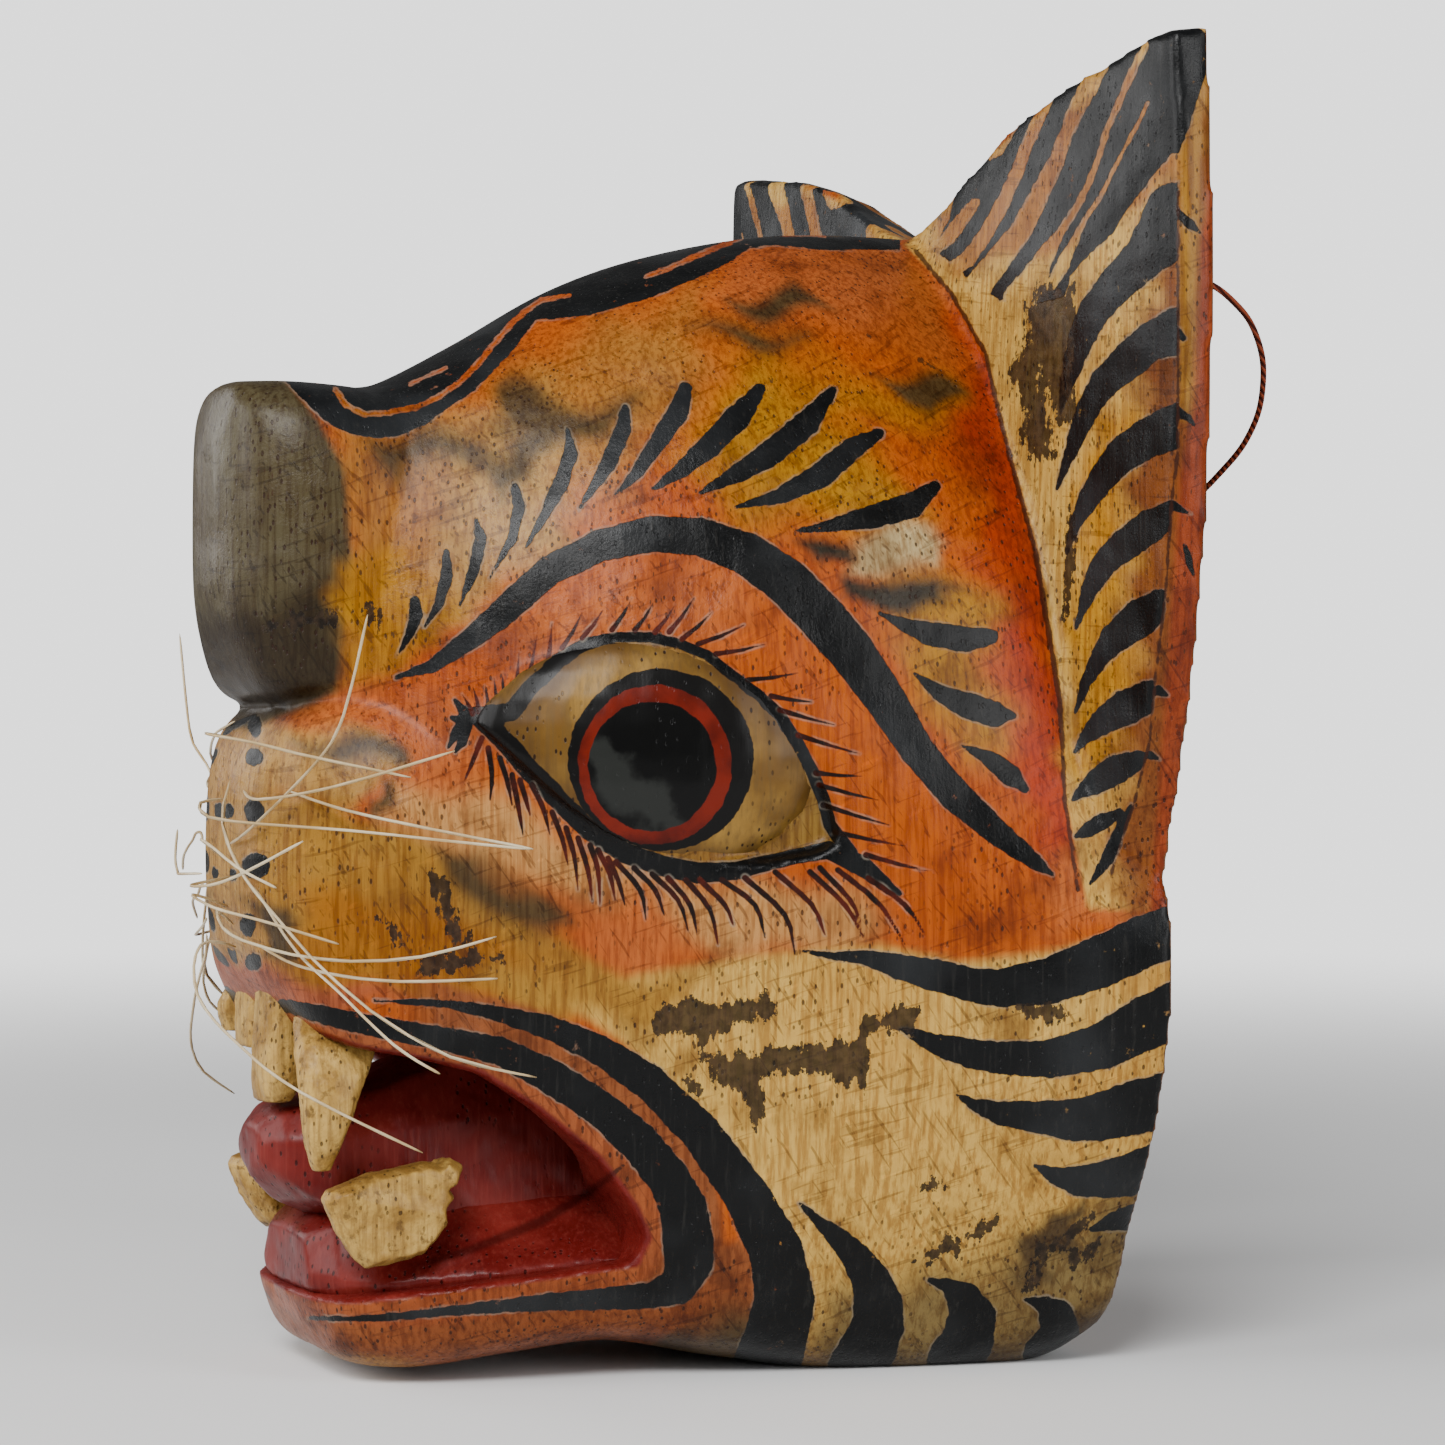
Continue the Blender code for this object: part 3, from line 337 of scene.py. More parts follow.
MOUTH_BANDS = tables("""
283,1005,6 320,1014,9 350,1021,10 400,1031,11 450,1040,12 500,1051,14 550,1076,17 600,1108,18
640,1143,20 668,1178,21 683,1208,24 688,1240,25 689,1262,24 679,1285,19 650,1296,13 600,1299,11
550,1302,9 500,1306,6.5 450,1311,5 400,1316,4 350,1319,3 310,1318,2 / 375,1000,1.5 450,1004,4
500,1014,8 550,1028,12 600,1050,15 650,1083,18 702,1134,20 748,1198,23 776,1250,27 785,1300,30
775,1340,32 760,1385,34
""")
MOUTH_EDGE = rows("""
200,1010 300,1025 326,1038 360,1045 404,1053 439,1067 473,1075 508,1084 534,1095 560,1112 587,1134
608,1153 626,1175 637,1199 642,1221 643,1243 639,1258 621,1269 600,1273 556,1282 500,1295 450,1301
400,1306 350,1303 300,1295 273,1284 263,1273 200,1260
""")
CROWN_BLACK = rows("""
270,372 287,382 301,398 328,423 351,434 374,438 400,436 424,425 450,407 474,391 500,364 515,348
528,330 535,320 578,317 600,313 650,298 700,277 719,268 737,257 750,248 774,245 828,250 900,250
900,180 700,180 500,260 400,340 330,355
""")
CROWN_LIGHTS = tables("""
335,389,3 346,405,3 365,414,3 387,413,3 415,408,3 437,398,3 460,382,3 478,364,3 496,341,3
515,320,3 528,309,3 542,300,3 569,295,2 / 410,384,2 446,368,2 / 646,277,2.5 678,264,3 715,248,3
746,236,2 / 755,234,2 796,233,3 824,236,2 / 846,234,2 874,234,3 896,236,2
""")
# Spots of the muzzle: middle and half sizes
SPOTS = rows("""
255,726,7,11 254,757,9,9 216,777,5,8 228,811,6,8 254,811,10,13 256,866,14,13 233,875,4,6
248,925,8,12 232,960,6,11 253,962,8,9 204,790,4,8 212,880,4,8 220,905,5,7 216,930,4,7
""")
# Outlines and strokes where the paint is worn off
WORN = tables("""
649,1023 660,1013 677,1004 686,1000 708,1002 734,1000 760,995 777,1013 764,1017 747,1023 730,1030
721,1037 700,1045 690,1034 669,1034 660,1032 / 700,1052 717,1056 750,1054 777,1047 803,1047
850,1041 860,1030 873,1019 899,1006 921,1008 921,1017 908,1032 882,1030 864,1032 873,1056 871,1078
867,1095 856,1082 850,1089 830,1073 814,1078 800,1071 777,1069 762,1084 762,1121 758,1130 743,1097
732,1087 717,1080 710,1065 / 677,1078 690,1076 699,1091 684,1087 / 1019,1008 1069,1005 1067,1015
1056,1023 1034,1019 / 1025,310 1040,285 1070,290 1075,330 1068,380 1080,415 1060,420 1052,400
1040,365 1045,410 1055,465 1030,455 1025,430 1030,410 1010,375 1025,345 / 362,915 385,920 405,935
402,945 388,928 372,920 / 425,870 450,880 460,925 470,940 462,955 440,915 / 410,966 440,955
470,950 500,958 470,965 450,975 420,972
""")
WORN_STROKES = tables("""
262,628,3 290,622,7 330,618,6 / 903,1267,2 940,1249,4 962,1240,3 997,1222,2 / 942,1232,2
955,1250,3 / 923,1186,4 938,1184,5 / 1030,1290,3 1045,1250,6 1090,1215,4 / 1075,1262,4 1100,1240,3
/ 1066,480,3 1070,520,2 1068,560,3 1064,620,1 / 365,595,3 368,610,11 372,624,4
""")
TOOTH_RIDGE = rows("350,1194,1 372,1203,1 400,1209,1 441,1214,1")
# Line of painted shade along a ridge inside the mouth
MOUTH_RIDGE = rows("628,1162,1 590,1192,2 540,1222,3 470,1250,2 430,1262,1")
# Line of painted shade along the crease where the panel meets the face
CREASE = rows("""
915,250,2 950,292,2 985,352,2 1003,430,2 1020,495,2.2 1035,550,2.5 1050,640,2.5 1060,705,2.5
1065,800,2 1078,890,1.5
""")
# Bluish painted reflection in the pupil
PUPIL_REFLECTION = rows("590,745,14 640,800,24 690,835,8")

# Paints, as display colours out of 255
PAINTS = {
    "orange": (180, 100, 22), "orange_red": (172, 72, 20), "salmon": (184, 112, 58),
    "tan": (170, 124, 62), "ochre": (172, 130, 28), "ochre_brown": (168, 132, 62),
    "yellow": (190, 148, 48), "cream": (202, 170, 98), "pink_beige": (192, 150, 98),
    "beige": (176, 142, 82), "grey_cream": (136, 118, 78), "grey_brown": (98, 82, 56),
    "jaw_orange": (150, 96, 58), "nose_grey": (98, 91, 70), "nose_dark": (70, 60, 42),
    # the pale worn paint on this line is partly a painted highlight
    "ochre_deep": (162, 114, 34), "worn_pale": (184, 166, 128), "smudge": (66, 60, 48),
    "lip_pink": (168, 102, 68), "rim_brown": (140, 92, 46), "rim_red": (158, 84, 46),
    "sclera": (150, 122, 66), "lip_orange": (160, 98, 60),
}

# Areas of the ground paint, from the bottom layer up: paint, softness in pixels, outline
# The pale worn patch at the foot of the feathers is worn paint with a painted highlight on it
AREAS = areas("""
tan 40 330,390 420,430 500,380 620,320 700,300 700,400 640,470 560,530 450,590 400,650 330,680 /
beige 28 440,440 560,380 560,540 440,620 /
salmon 30 740,250 900,245 980,330 1000,420 900,330 800,330 720,300 /
ochre 38 750,340 850,390 960,400 985,520 930,560 840,520 740,520 690,470 /
orange 25 830,420 980,420 1000,600 1040,760 1010,820 980,700 930,560 900,480 /
ochre 26 890,570 1000,590 985,660 1000,760 960,750 930,700 890,640 /
salmon 35 540,600 640,560 740,580 740,640 640,640 540,660 /
orange_red 22 960,290 1010,400 1050,560 1066,700 1070,870 1030,850 1010,640 960,430 /
salmon 20 262,735 290,695 350,680 430,690 490,715 500,770 440,790 385,760 300,728 /
beige 12 240,745 270,724 330,724 385,742 400,770 360,800 280,800 240,790 /
beige 14 180,700 258,705 272,760 272,960 180,1000 /
ochre_brown 14 255,800 330,795 400,830 470,860 530,930 640,985 620,1020 480,1000 330,985 262,965 /
ochre_deep 22 300,890 420,905 520,945 600,985 560,1008 420,992 280,980 /
pink_beige 22 395,790 480,790 560,830 640,870 740,885 850,885 900,925 860,950 740,955 620,930
520,880 430,850 390,820 /
salmon 24 560,900 640,890 700,930 660,985 590,950 /
orange 24 830,870 930,880 1080,880 1110,920 1050,945 960,955 880,925 /
salmon 18 1070,860 1190,850 1190,915 1080,930 1040,930 /
cream 7 560,1000 640,975 740,958 810,950 880,945 960,962 1050,952 1110,935 1220,900 1220,1400
690,1400 790,1290 770,1200 700,1110 620,1040 /
ochre_brown 16 480,955 600,965 690,985 640,1030 560,1010 480,985 /
grey_cream 36 830,1290 960,1270 1060,1230 1200,1150 1220,1420 790,1420 /
grey_brown 24 780,1345 960,1352 1120,1300 1120,1420 780,1420 /
lip_pink 10 200,968 262,972 340,985 420,1000 300,1008 200,1012 /
jaw_orange 6 200,1270 263,1278 350,1306 640,1270 740,1240 790,1300 760,1420 200,1420 /
ochre_brown 7 290,1350 430,1362 560,1345 560,1400 290,1400 /
grey_brown 26 610,1322 770,1315 790,1400 600,1400 /
worn_pale 12 838,545 870,526 920,530 950,545 940,572 890,566 850,575 /
smudge 11 835,580 895,574 962,590 942,612 880,604 846,604 /
smudge 10 800,548 836,540 846,560 812,572 /
grey_brown 10 735,298 800,290 820,312 760,318 /
grey_brown 16 700,330 745,322 800,340 740,352 /
grey_brown 16 470,460 560,405 640,400 600,430 540,450 500,500 /
grey_brown 10 880,372 930,378 962,400 925,412 890,396 /
grey_brown 16 430,850 470,845 510,870 540,900 565,930 540,940 510,925 480,900 445,885 /
grey_brown 9 250,900 275,900 305,958 262,962 /
grey_brown 9 380,790 400,785 400,815 384,820 /
nose_grey 5 170,350 285,378 318,418 345,470 352,560 344,625 336,692 250,730 170,710 /
nose_dark 22 180,640 240,610 336,590 336,692 250,730 180,700 /
cream 3 905,245 960,180 1100,60 1225,10 1225,912 1088,908 1066,800 1062,705 1052,640 1037,550
1022,495 1004,430 985,350 950,290 /
yellow 16 1085,420 1125,400 1128,760 1080,780 1068,700 /
rim_brown 20 1160,180 1225,60 1225,914 1112,912 1118,800 1128,700 1132,500 1140,330 /
ochre_brown 5 1178,60 1200,60 1200,420 1180,420 /
rim_red 5 1200,250 1225,60 1225,914 1150,914 1165,700 1180,480 1194,400 /
grey_brown 10 1060,1205 1092,1198 1085,1240 1052,1262 1040,1292 1018,1290 1030,1250 /
ochre 18 340,560 410,550 460,600 430,650 345,690 /
grey_brown 14 505,380 548,392 566,440 530,455 505,425 /
grey_brown 18 375,436 430,428 486,446 470,470 420,462 392,480 /
grey_brown 12 300,738 400,742 400,768 330,762 /
tan 10 930,240 1000,140 1180,40 1170,170 1090,240 1010,260 950,270
""")
# Discs of the eye: middle and half sizes
IRIS_BLACK = (661, 760, 93, 91)
IRIS_RED = (655, 765, 77, 80)
PUPIL = (652, 766, 64, 65)
# Ovals with fine strokes round the eye, and with finer faces
FINE_OVAL = (690, 775, 270, 200)
LID_OVAL = (680, 770, 260, 200)
# How much deeper the wax makes the paints than their dry colours
WAX_DEPTH = 1.3
# Distances to strokes are measured up to here, in pixels
STROKE_REACH = 60.0
SEARCH_MARGIN = 90
# Painted distances are stored in units of this many pixels
INK_UNIT = 10
# Areas softer than this have a wavy edge
WAVY_FROM = 8
# Width of the painted lips, and of the orange of the jaw round the mouth, in pixels
LIP_WIDTH, JAW_WIDTH = 24, 84
# Heights between which the line along the rim is drawn, and its half width, in pixels
RIM_LINE, RIM_LINE_HALF = (190, 880), 1.2

# Camera of the photograph, in pixels and metres
PIXELS = 1445
CAMERA_TURN = math.radians(65)
CAMERA_FOCAL = 3397.0
CAMERA_MIDDLE = (722.5, 750.0)
CAMERA_PLACE = (0.74179, -0.41031, 0.141)
SENSOR = 36

# Lights: name, place, aim, size, power in watts
LIGHTS = (
    ("key", (1.1, -0.9, 1.25), (0.05, 0, 0.15), (0.8, 0.6), 36),
    ("front", (-0.2, -1.5, 0.75), (0, 0, 0.15), (0.8, 0.8), 18),
    ("side", (1.3, 0.7, 0.5), (0, 0, 0.15), (0.6, 0.9), 12),
    ("far_side", (-1.2, -0.9, 0.6), (0, 0, 0.15), (0.8, 0.8), 8),
)
# Strength of the world as it lights the mask, and as the camera sees it
WORLD_LIGHT, WORLD_SEEN = 0.16, 2.4
FLOOR_HALF = 3


def added(name, data):
    """A new object of the scene."""
    made = bpy.data.objects.new(name, data)
    bpy.context.scene.collection.objects.link(made)
    return made


def place(name, mesh):
    """A new object from a bmesh, which is used up."""
    data = bpy.data.meshes.new(name)
    mesh.to_mesh(data)
    mesh.free()
    return added(name, data)


def spline(points, steps, half=False):
    """Points on a Catmull-Rom curve through the rows, with this many steps between two rows.

    The rows of a half section of (x, z) carry on in their mirror image at both ends.
    """
    points = np.asarray(points, float)
    first, last = 2 * points[0] - points[1], 2 * points[-1] - points[-2]
    if half:
        first, last = points[1] * (-1, 1), points[-2] * (-1, 1)
    before = np.concatenate([[first], points[:-1]])
    after = np.concatenate([points[1:], [last]])
    out = []
    for i in range(len(points) - 1):
        leave = (points[i + 1] - before[i]) / 2
        arrive = (after[i + 1] - points[i]) / 2
        for k in range(steps):
            t = k / steps
            out.append(
                (2 * t**3 - 3 * t**2 + 1) * points[i]
                + (t**3 - 2 * t**2 + t) * leave
                + (3 * t**2 - 2 * t**3) * points[i + 1]
                + (t**3 - t**2) * arrive
            )
    out.append(points[-1])
    return np.array(out)


def closed_ring(half):
    """A whole section from its half, which runs from the top centre to the bottom centre."""
    other = half[-2:0:-1] * np.array([-1.0, 1.0])
    return np.concatenate([half, other])


def loft(rings):
    """A closed bmesh through rings of equal length, each a list of (x, y, z) in metres."""
    mesh = bmesh.new()
    made = [[mesh.verts.new(point) for point in ring] for ring in rings]
    count = len(made[0])
    for near, far in zip(made, made[1:]):
        for i in range(count):
            j = (i + 1) % count
            mesh.faces.new((near[i], near[j], far[j], far[i]))
    mesh.faces.new(made[0])
    mesh.faces.new(made[-1][::-1])
    bmesh.ops.recalc_face_normals(mesh, faces=mesh.faces)
    if mesh.calc_volume(signed=True) < 0:
        bmesh.ops.reverse_faces(mesh, faces=mesh.faces)
    return mesh


def lofted(stations, depth_steps, round_steps):
    """A closed bmesh through (depth, half section) stations in grid units."""
    halves = [spline(half, round_steps, True) for _, half in stations]
    depths = spline([[depth] for depth, _ in stations], depth_steps)[:, 0]
    flat = spline([half.ravel() for half in halves], depth_steps)
    rings = []
    for depth, row in zip(depths, flat):
        half = row.reshape(-1, 2)
        half[0, 0] = half[-1, 0] = 0.0
        half[:, 0] = np.maximum(half[:, 0], 0.0)
        rings.append([(x * U, -depth * U, z * U) for x, z in closed_ring(half)])
    return loft(rings)


def panel_form():
    """The plate of both ears and side panels, thickest at the notch between the ears."""
    rings = []
    for step in range(3):
        ring = []
        for x, z in closed_ring(np.array([row[step] for row in PANEL])):
            inward = 1 - abs(x) / PANEL_HALF_WIDTH
            front = (RIM_THICKNESS + (EAR_ROOT_THICKNESS - RIM_THICKNESS) * inward) / U
            depth = (-0.5, front, PANEL_ROOT_DEPTH)[step]
            ring.append((x * U, -depth * U, z * U))
        rings.append(ring)
    return loft(rings)


def ellipsoid(centre, sizes, segments=24, rings=14, turn=0.0):
    """A ball stretched to half sizes along x, depth and z in grid units, then turned about z."""
    mesh = bmesh.new()
    bmesh.ops.create_uvsphere(mesh, u_segments=segments, v_segments=rings, radius=1.0)
    x, depth, z = centre
    c, s = math.cos(turn), math.sin(turn)
    for vert in mesh.verts:
        across, along, up = (vert.co[i] * sizes[i] for i in range(3))
        vert.co = Vector((
            (x + across * c - along * s) * U,
            (-depth + across * s + along * c) * U,
            (z + up) * U,
        ))
    return mesh


def prism(outline, low_x, high_x):
    """A side-view outline of (depth, z) drawn out between two values of x, each a function."""
    rings = []
    for x in (low_x, high_x):
        rings.append([(x(depth) * U, -depth * U, z * U) for depth, z in outline])
    return loft(rings)


def eye_plane(depth):
    """x of the plane through the lids, at a depth."""
    (inner, inner_x), (outer, outer_x) = EYE_INNER, EYE_OUTER
    return outer_x + (inner_x - outer_x) * (depth - outer) / (inner - outer)


def eye_forms(side, name):
    """The socket to cut and the eyeball to join, on one side."""
    recess = EYE_RECESS / U
    outline = spline(EYE + EYE[:1], 2)[:-1]

    def wall(offset):
        return lambda depth: side * (eye_plane(depth) + offset)

    socket = prism(outline, wall(-recess), wall(3))
    wider = (outline - EYEBALL_CENTRE) * EYEBALL_OVERLAP + EYEBALL_CENTRE
    almond = prism(wider, wall(-2), wall(3))
    (inner, inner_x), (outer, outer_x) = EYE_INNER, EYE_OUTER
    turn = -side * math.atan2(outer_x - inner_x, inner - outer)
    sink = 2 * recess
    depth, z = EYEBALL_CENTRE
    centre = (side * (eye_plane(depth) - sink), depth, z)
    sizes = (sink + EYE_BULGE / U, *EYEBALL_HALF)
    ball = place(f"eyeball_{name}", ellipsoid(centre, sizes, turn=turn))
    boolean(ball, place(f"almond_{name}", almond), "INTERSECT")
    return place(f"eye_socket_{name}", socket), ball


def tooth(rings):
    """A tooth from its rings of squared ovals."""
    out = []
    for x, depth, z, thick, long in rings:
        ring = []
        for k in range(TOOTH_SIDES):
            angle = 2 * math.pi * k / TOOTH_SIDES
            c, s = math.cos(angle), math.sin(angle)
            across = thick * math.copysign(abs(c) ** 0.7, c)
            along = long * math.copysign(abs(s) ** 0.7, s)
            ring.append(((x + across) * U, -(depth + along) * U, z * U))
        out.append(ring)
    return loft(out)


def leaf_tooth(side):
    """A lower canine: a flat tooth from its side view, rounded off across the jaw."""
    outline = np.array(LOWER_CANINE)
    middle = outline.mean(axis=0)
    rings = []
    for x, share in LOWER_CANINE_STEPS:
        drawn = middle + (outline - middle) * share
        rings.append([(side * x * U, -depth * U, z * U) for depth, z in drawn])
    return loft(rings)


def hollow_form():
    """The hollow at the back: the head's own sections, drawn in by the wall, rounded in front."""
    keep = 1 - HOLLOW_WALL / (HOLLOW_GUIDE_X * U)
    keep_z = 1 - HOLLOW_WALL / (HOLLOW_CENTRE_Z * U)
    depths = np.array([depth for depth, _ in HEAD])
    halves = np.array([half for _, half in HEAD])
    rings = []
    for share, rounding in ((-0.05, 1.0),) + HOLLOW_ROUNDING:
        depth = share * HOLLOW_DEPTH / U
        half = np.array([
            [np.interp(depth, depths, halves[:, i, k]) for k in (0, 1)]
            for i in range(halves.shape[1])
        ])
        half = spline(half, DETAIL_STEPS[1], True)
        half[0, 0] = half[-1, 0] = 0.0
        ring = []
        for x, z in closed_ring(half):
            z = HOLLOW_CENTRE_Z + (z - HOLLOW_CENTRE_Z) * keep_z * rounding
            ring.append((x * keep * rounding * U, -depth * U, z * U))
        rings.append(ring)
    return loft(rings)


def block(low, high):
    """A box between two corners, in metres."""
    mesh = bmesh.new()
    bmesh.ops.create_cube(mesh, size=1.0)
    for vert in mesh.verts:
        sizes = zip(low, high, vert.co)
        vert.co = Vector([(a + b) / 2 + share * (b - a) for a, b, share in sizes])
    return mesh


def cord_hole(side):
    """The blind hole in the back of the rim that the cord's end sits in."""
    x, _, z = CORD[0]
    radius = (CORD_DIAMETER / 2 + TOUCH_GAP) / math.cos(math.pi / CORD_HOLE_SIDES)
    turns = [2 * math.pi * k / CORD_HOLE_SIDES for k in range(CORD_HOLE_SIDES)]
    rings = []
    for depth in (-1.0, CORD_HOLE_DEPTH / U):
        rings.append([
            (side * x * U + radius * math.cos(a), -depth * U, z * U + radius * math.sin(a))
            for a in turns
        ])
    return loft(rings)


def boolean(target, other, operation):
    cut = target.modifiers.new(f"{operation.lower()} {other.name}", "BOOLEAN")
    cut.operation = operation
    cut.solver = "EXACT"
    cut.object = other


def linear(colour):
    """A display colour under the wax, as the shader takes it."""
    c = np.asarray(colour, float) / 255
    return np.where(c <= 0.04045, c / 12.92, ((c + 0.055) / 1.055) ** 2.4) ** WAX_DEPTH


def swath(px, py, stroke):
    """Distance to a tapering stroke in pixels, negative inside it."""
    points = np.asarray(stroke, float)
    out = np.full(len(px), STROKE_REACH)
    near = within(px, py, points[:, :2], SEARCH_MARGIN)
    x, y = px[near], py[near]
    best = out[near]
    for a, b in zip(points[:-1], points[1:]):
        step = b[:2] - a[:2]
        t = ((x - a[0]) * step[0] + (y - a[1]) * step[1]) / max(1e-9, step @ step)
        t = np.clip(t, 0, 1)
        gap = np.hypot(x - a[0] - t * step[0], y - a[1] - t * step[1])
        best = np.minimum(best, gap - (a[2] + t * (b[2] - a[2])))
    out[near] = best
    return out


def within(px, py, points, margin):
    """Which places lie in the box of the points, made wider by a margin."""
    low, high = points.min(0) - margin, points.max(0) + margin
    return np.flatnonzero((px > low[0]) & (px < high[0]) & (py > low[1]) & (py < high[1]))


def region(px, py, outline):
    """Distance to the edge of an outline, negative inside it."""
    points = np.asarray(outline, float)
    best = np.full(len(px), 1e9)
    inside = np.zeros(len(px), bool)
    for a, b in zip(points, np.roll(points, -1, axis=0)):
        step = b - a
        t = ((px - a[0]) * step[0] + (py - a[1]) * step[1]) / max(1e-9, step @ step)
        t = np.clip(t, 0, 1)
        best = np.minimum(best, np.hypot(px - a[0] - t * step[0], py - a[1] - t * step[1]))
        if step[1]:
            cross = (a[1] > py) != (b[1] > py)
            inside ^= cross & (px < a[0] + (py - a[1]) * step[0] / step[1])
    return np.where(inside, -best, best)


def oval(px, py, x, y, half_x, half_y):
    return (np.hypot((px - x) / half_x, (py - y) / half_y) - 1) * min(half_x, half_y)


def nearest(*gaps):
    return np.minimum.reduce(gaps)


def nearest_of(px, py, strokes):
    return nearest(*(swath(px, py, stroke) for stroke in strokes))


def thin(px, py):
    """1 among the fine strokes round the eye, 0 elsewhere."""
    x, y, half_x, half_y = FINE_OVAL
    return np.clip(1.6 - np.hypot((px - x) / half_x, (py - y) / half_y) * 1.1, 0, 1)


def black_paint(px, py):
    """Distance to the black paint of the outside, in pixels."""
    strokes = (BROW,) + FEATHERS + LIDS + CHEEK_STRIPES + MOUTH_BANDS + PANEL_MARKS
    return nearest(
        nearest_of(px, py, strokes),
        np.maximum(nearest_of(px, py, PANEL_STROKES), past_border(px, py)),
        *(oval(px, py, *spot) for spot in SPOTS),
        np.maximum(region(px, py, CROWN_BLACK), -nearest_of(px, py, CROWN_LIGHTS)),
        np.maximum(region(px, py, EAR_BLACK), -nearest_of(px, py, EAR_LIGHTS)),
    )


def past_border(px, py):
    """How far a place is to the right of the line along the rim, in pixels."""
    return px - np.interp(py, *np.transpose(PANEL_BORDER)[::-1])


def crease_paint(px, py):
    """Distance to the painted shade: dark lines where the panel meets the face and the rim, and
    along the ridge in the mouth, in pixels.
    """
    top, bottom = RIM_LINE
    line = np.abs(past_border(px, py)) - RIM_LINE_HALF
    line = np.where((py > top) & (py < bottom), line, STROKE_REACH)
    return nearest(line, swath(px, py, CREASE), swath(px, py, MOUTH_RIDGE))


def lash_paint(px, py):
    """Distance to the eyelashes, which are bent strokes with a fine tip, in pixels."""
    fine = []
    for x, y, u, v in LASHES:
        fine.append(((x, y, 0.3), ((x + u) / 2 + 1, (y + v) / 2 + 1, 1.8), (u, v, 2.8)))
    for lash in LOWER_LASHES:
        bent = spline(np.reshape(lash, (3, 2)), 3)
        fine.append([(x, y, w) for (x, y), w in zip(bent, (0.6, 1.4, 2.1, 2.5, 2.7, 2.8, 2.9))])
    return nearest_of(px, py, fine)


def worn_paint(px, py):
    """Distance to the worn places, in pixels."""
    return nearest(nearest_of(px, py, WORN_STROKES), *(region(px, py, edge) for edge in WORN))


def painted(colour, share, paint):
    """Colours with a share of another paint over them."""
    share = share[:, None]
    return colour * (1 - share) + linear(PAINTS[paint]) * share


def ground_paint(px, py):
    """Colours of the layer under the stripes, with softly mixed areas."""
    colour = np.tile(linear(PAINTS["orange"]), (len(px), 1))
    for paint, soft, outline in AREAS:
        near = within(px, py, np.array(outline), 2 * soft)
        x, y = px[near], py[near]
        if soft > WAVY_FROM:
            wave = 10 * np.sin(y / 19 + x / 43) + 5 * np.sin(y / 7.3 - x / 11)
            x, y = x + wave, y + 8 * np.sin(x / 17 - y / 37)
        t = np.clip(0.5 - region(x, y, outline) / (2 * soft), 0, 1)
        colour[near] = painted(colour[near], t * t * (3 - 2 * t), paint)
    white = np.clip(0.5 - region(px, py, EYE_OPENING) / 4, 0, 1)
    colour = painted(colour, white, "sclera")
    rim = region(px, py, MOUTH_EDGE)
    jaw = np.clip((JAW_WIDTH - rim) / 8, 0, 1) * np.clip((px - 380) / 60, 0, 1)
    colour = painted(colour, jaw, "jaw_orange")
    return painted(colour, np.clip((LIP_WIDTH - rim) / 5, 0, 1), "lip_orange")


def mouth_depth(points):
    """Distance from the opening of the mouth in grid units, negative in it or its cavity."""
    depth = -(points[:, 1] - SHIFT_Y) / U
    z = points[:, 2] / U
    centre, half = MOUTH_CAVITY
    spot = np.stack([points[:, 0] / U, depth, z], 1)
    ball = (np.linalg.norm((spot - centre) / half, axis=1) - 1) * min(half)
    return nearest(region(depth, z, MOUTH), ball)


def add_camera():
    data = bpy.data.cameras.new("camera")
    data.sensor_width = SENSOR
    data.lens = SENSOR * CAMERA_FOCAL / PIXELS
    data.shift_y = (CAMERA_MIDDLE[1] - PIXELS / 2) / PIXELS
    data.clip_end = 20
    eye = added("camera", data)
    x, y, z = CAMERA_PLACE
    eye.location = (x, y + SHIFT_Y, z)
    eye.rotation_euler = (math.pi / 2, 0, CAMERA_TURN)
    bpy.context.scene.camera = eye


def picture(points):
    """Where points of the left side stand in the photograph, in pixels; the right is mirrored."""
    c, s = math.cos(CAMERA_TURN), math.sin(CAMERA_TURN)
    x = np.abs(points[:, 0]) - CAMERA_PLACE[0]
    y = points[:, 1] - SHIFT_Y - CAMERA_PLACE[1]
    z = points[:, 2] - CAMERA_PLACE[2]
    away = -s * x + c * y
    across = c * x + s * y
    px = CAMERA_MIDDLE[0] + CAMERA_FOCAL * across / away
    py = CAMERA_MIDDLE[1] - CAMERA_FOCAL * z / away
    return px, py


def add_hanging_cord():
    way = CORD + tuple((-x, depth, z) for x, depth, z in CORD[-2::-1])
    points = [Vector((x * U, -depth * U + SHIFT_Y, z * U)) for x, depth, z in way]
    data = bpy.data.curves.new("cord_loop", "CURVE")
    data.dimensions = "3D"
    data.bevel_depth = CORD_DIAMETER / 2
    data.bevel_resolution = 4
    data.resolution_u = 10
    data.use_fill_caps = True
    path = data.splines.new("BEZIER")
    path.bezier_points.add(len(points) - 1)
    for spot, point in zip(path.bezier_points, points):
        spot.co = point
        spot.handle_left_type = spot.handle_right_type = "AUTO"
    made = added("cord_loop", data)
    data.materials.append(cord_material())
    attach(made, "root")
    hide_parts("hanging_cord")
    bpy.context.view_layer.update()


def solid_of(thing):
    """The finished mesh of an object with its modifiers."""
    bpy.context.view_layer.update()
    done = thing.evaluated_get(bpy.context.evaluated_depsgraph_get())
    mesh = bmesh.new()
    mesh.from_mesh(done.to_mesh())
    done.to_mesh_clear()
    return mesh


def moved(mesh, way=(0, SHIFT_Y, 0)):
    bmesh.ops.translate(mesh, verts=mesh.verts, vec=way)
    return mesh


def remeshed(mesh, size, rounds):
    """The same form in even faces of this size, with the steps of the grid smoothed out."""
    thing = place("blank", mesh)
    again = thing.modifiers.new("remesh", "REMESH")
    again.mode = "VOXEL"
    again.voxel_size = size
    again.adaptivity = 0
    out = solid_of(thing)
    bpy.data.objects.remove(thing, do_unlink=True)
    axes = {f"use_axis_{axis}": True for axis in "xyz"}
    for _ in range(rounds):
        bmesh.ops.smooth_vert(out, verts=out.verts, factor=0.5, **axes)
    return out


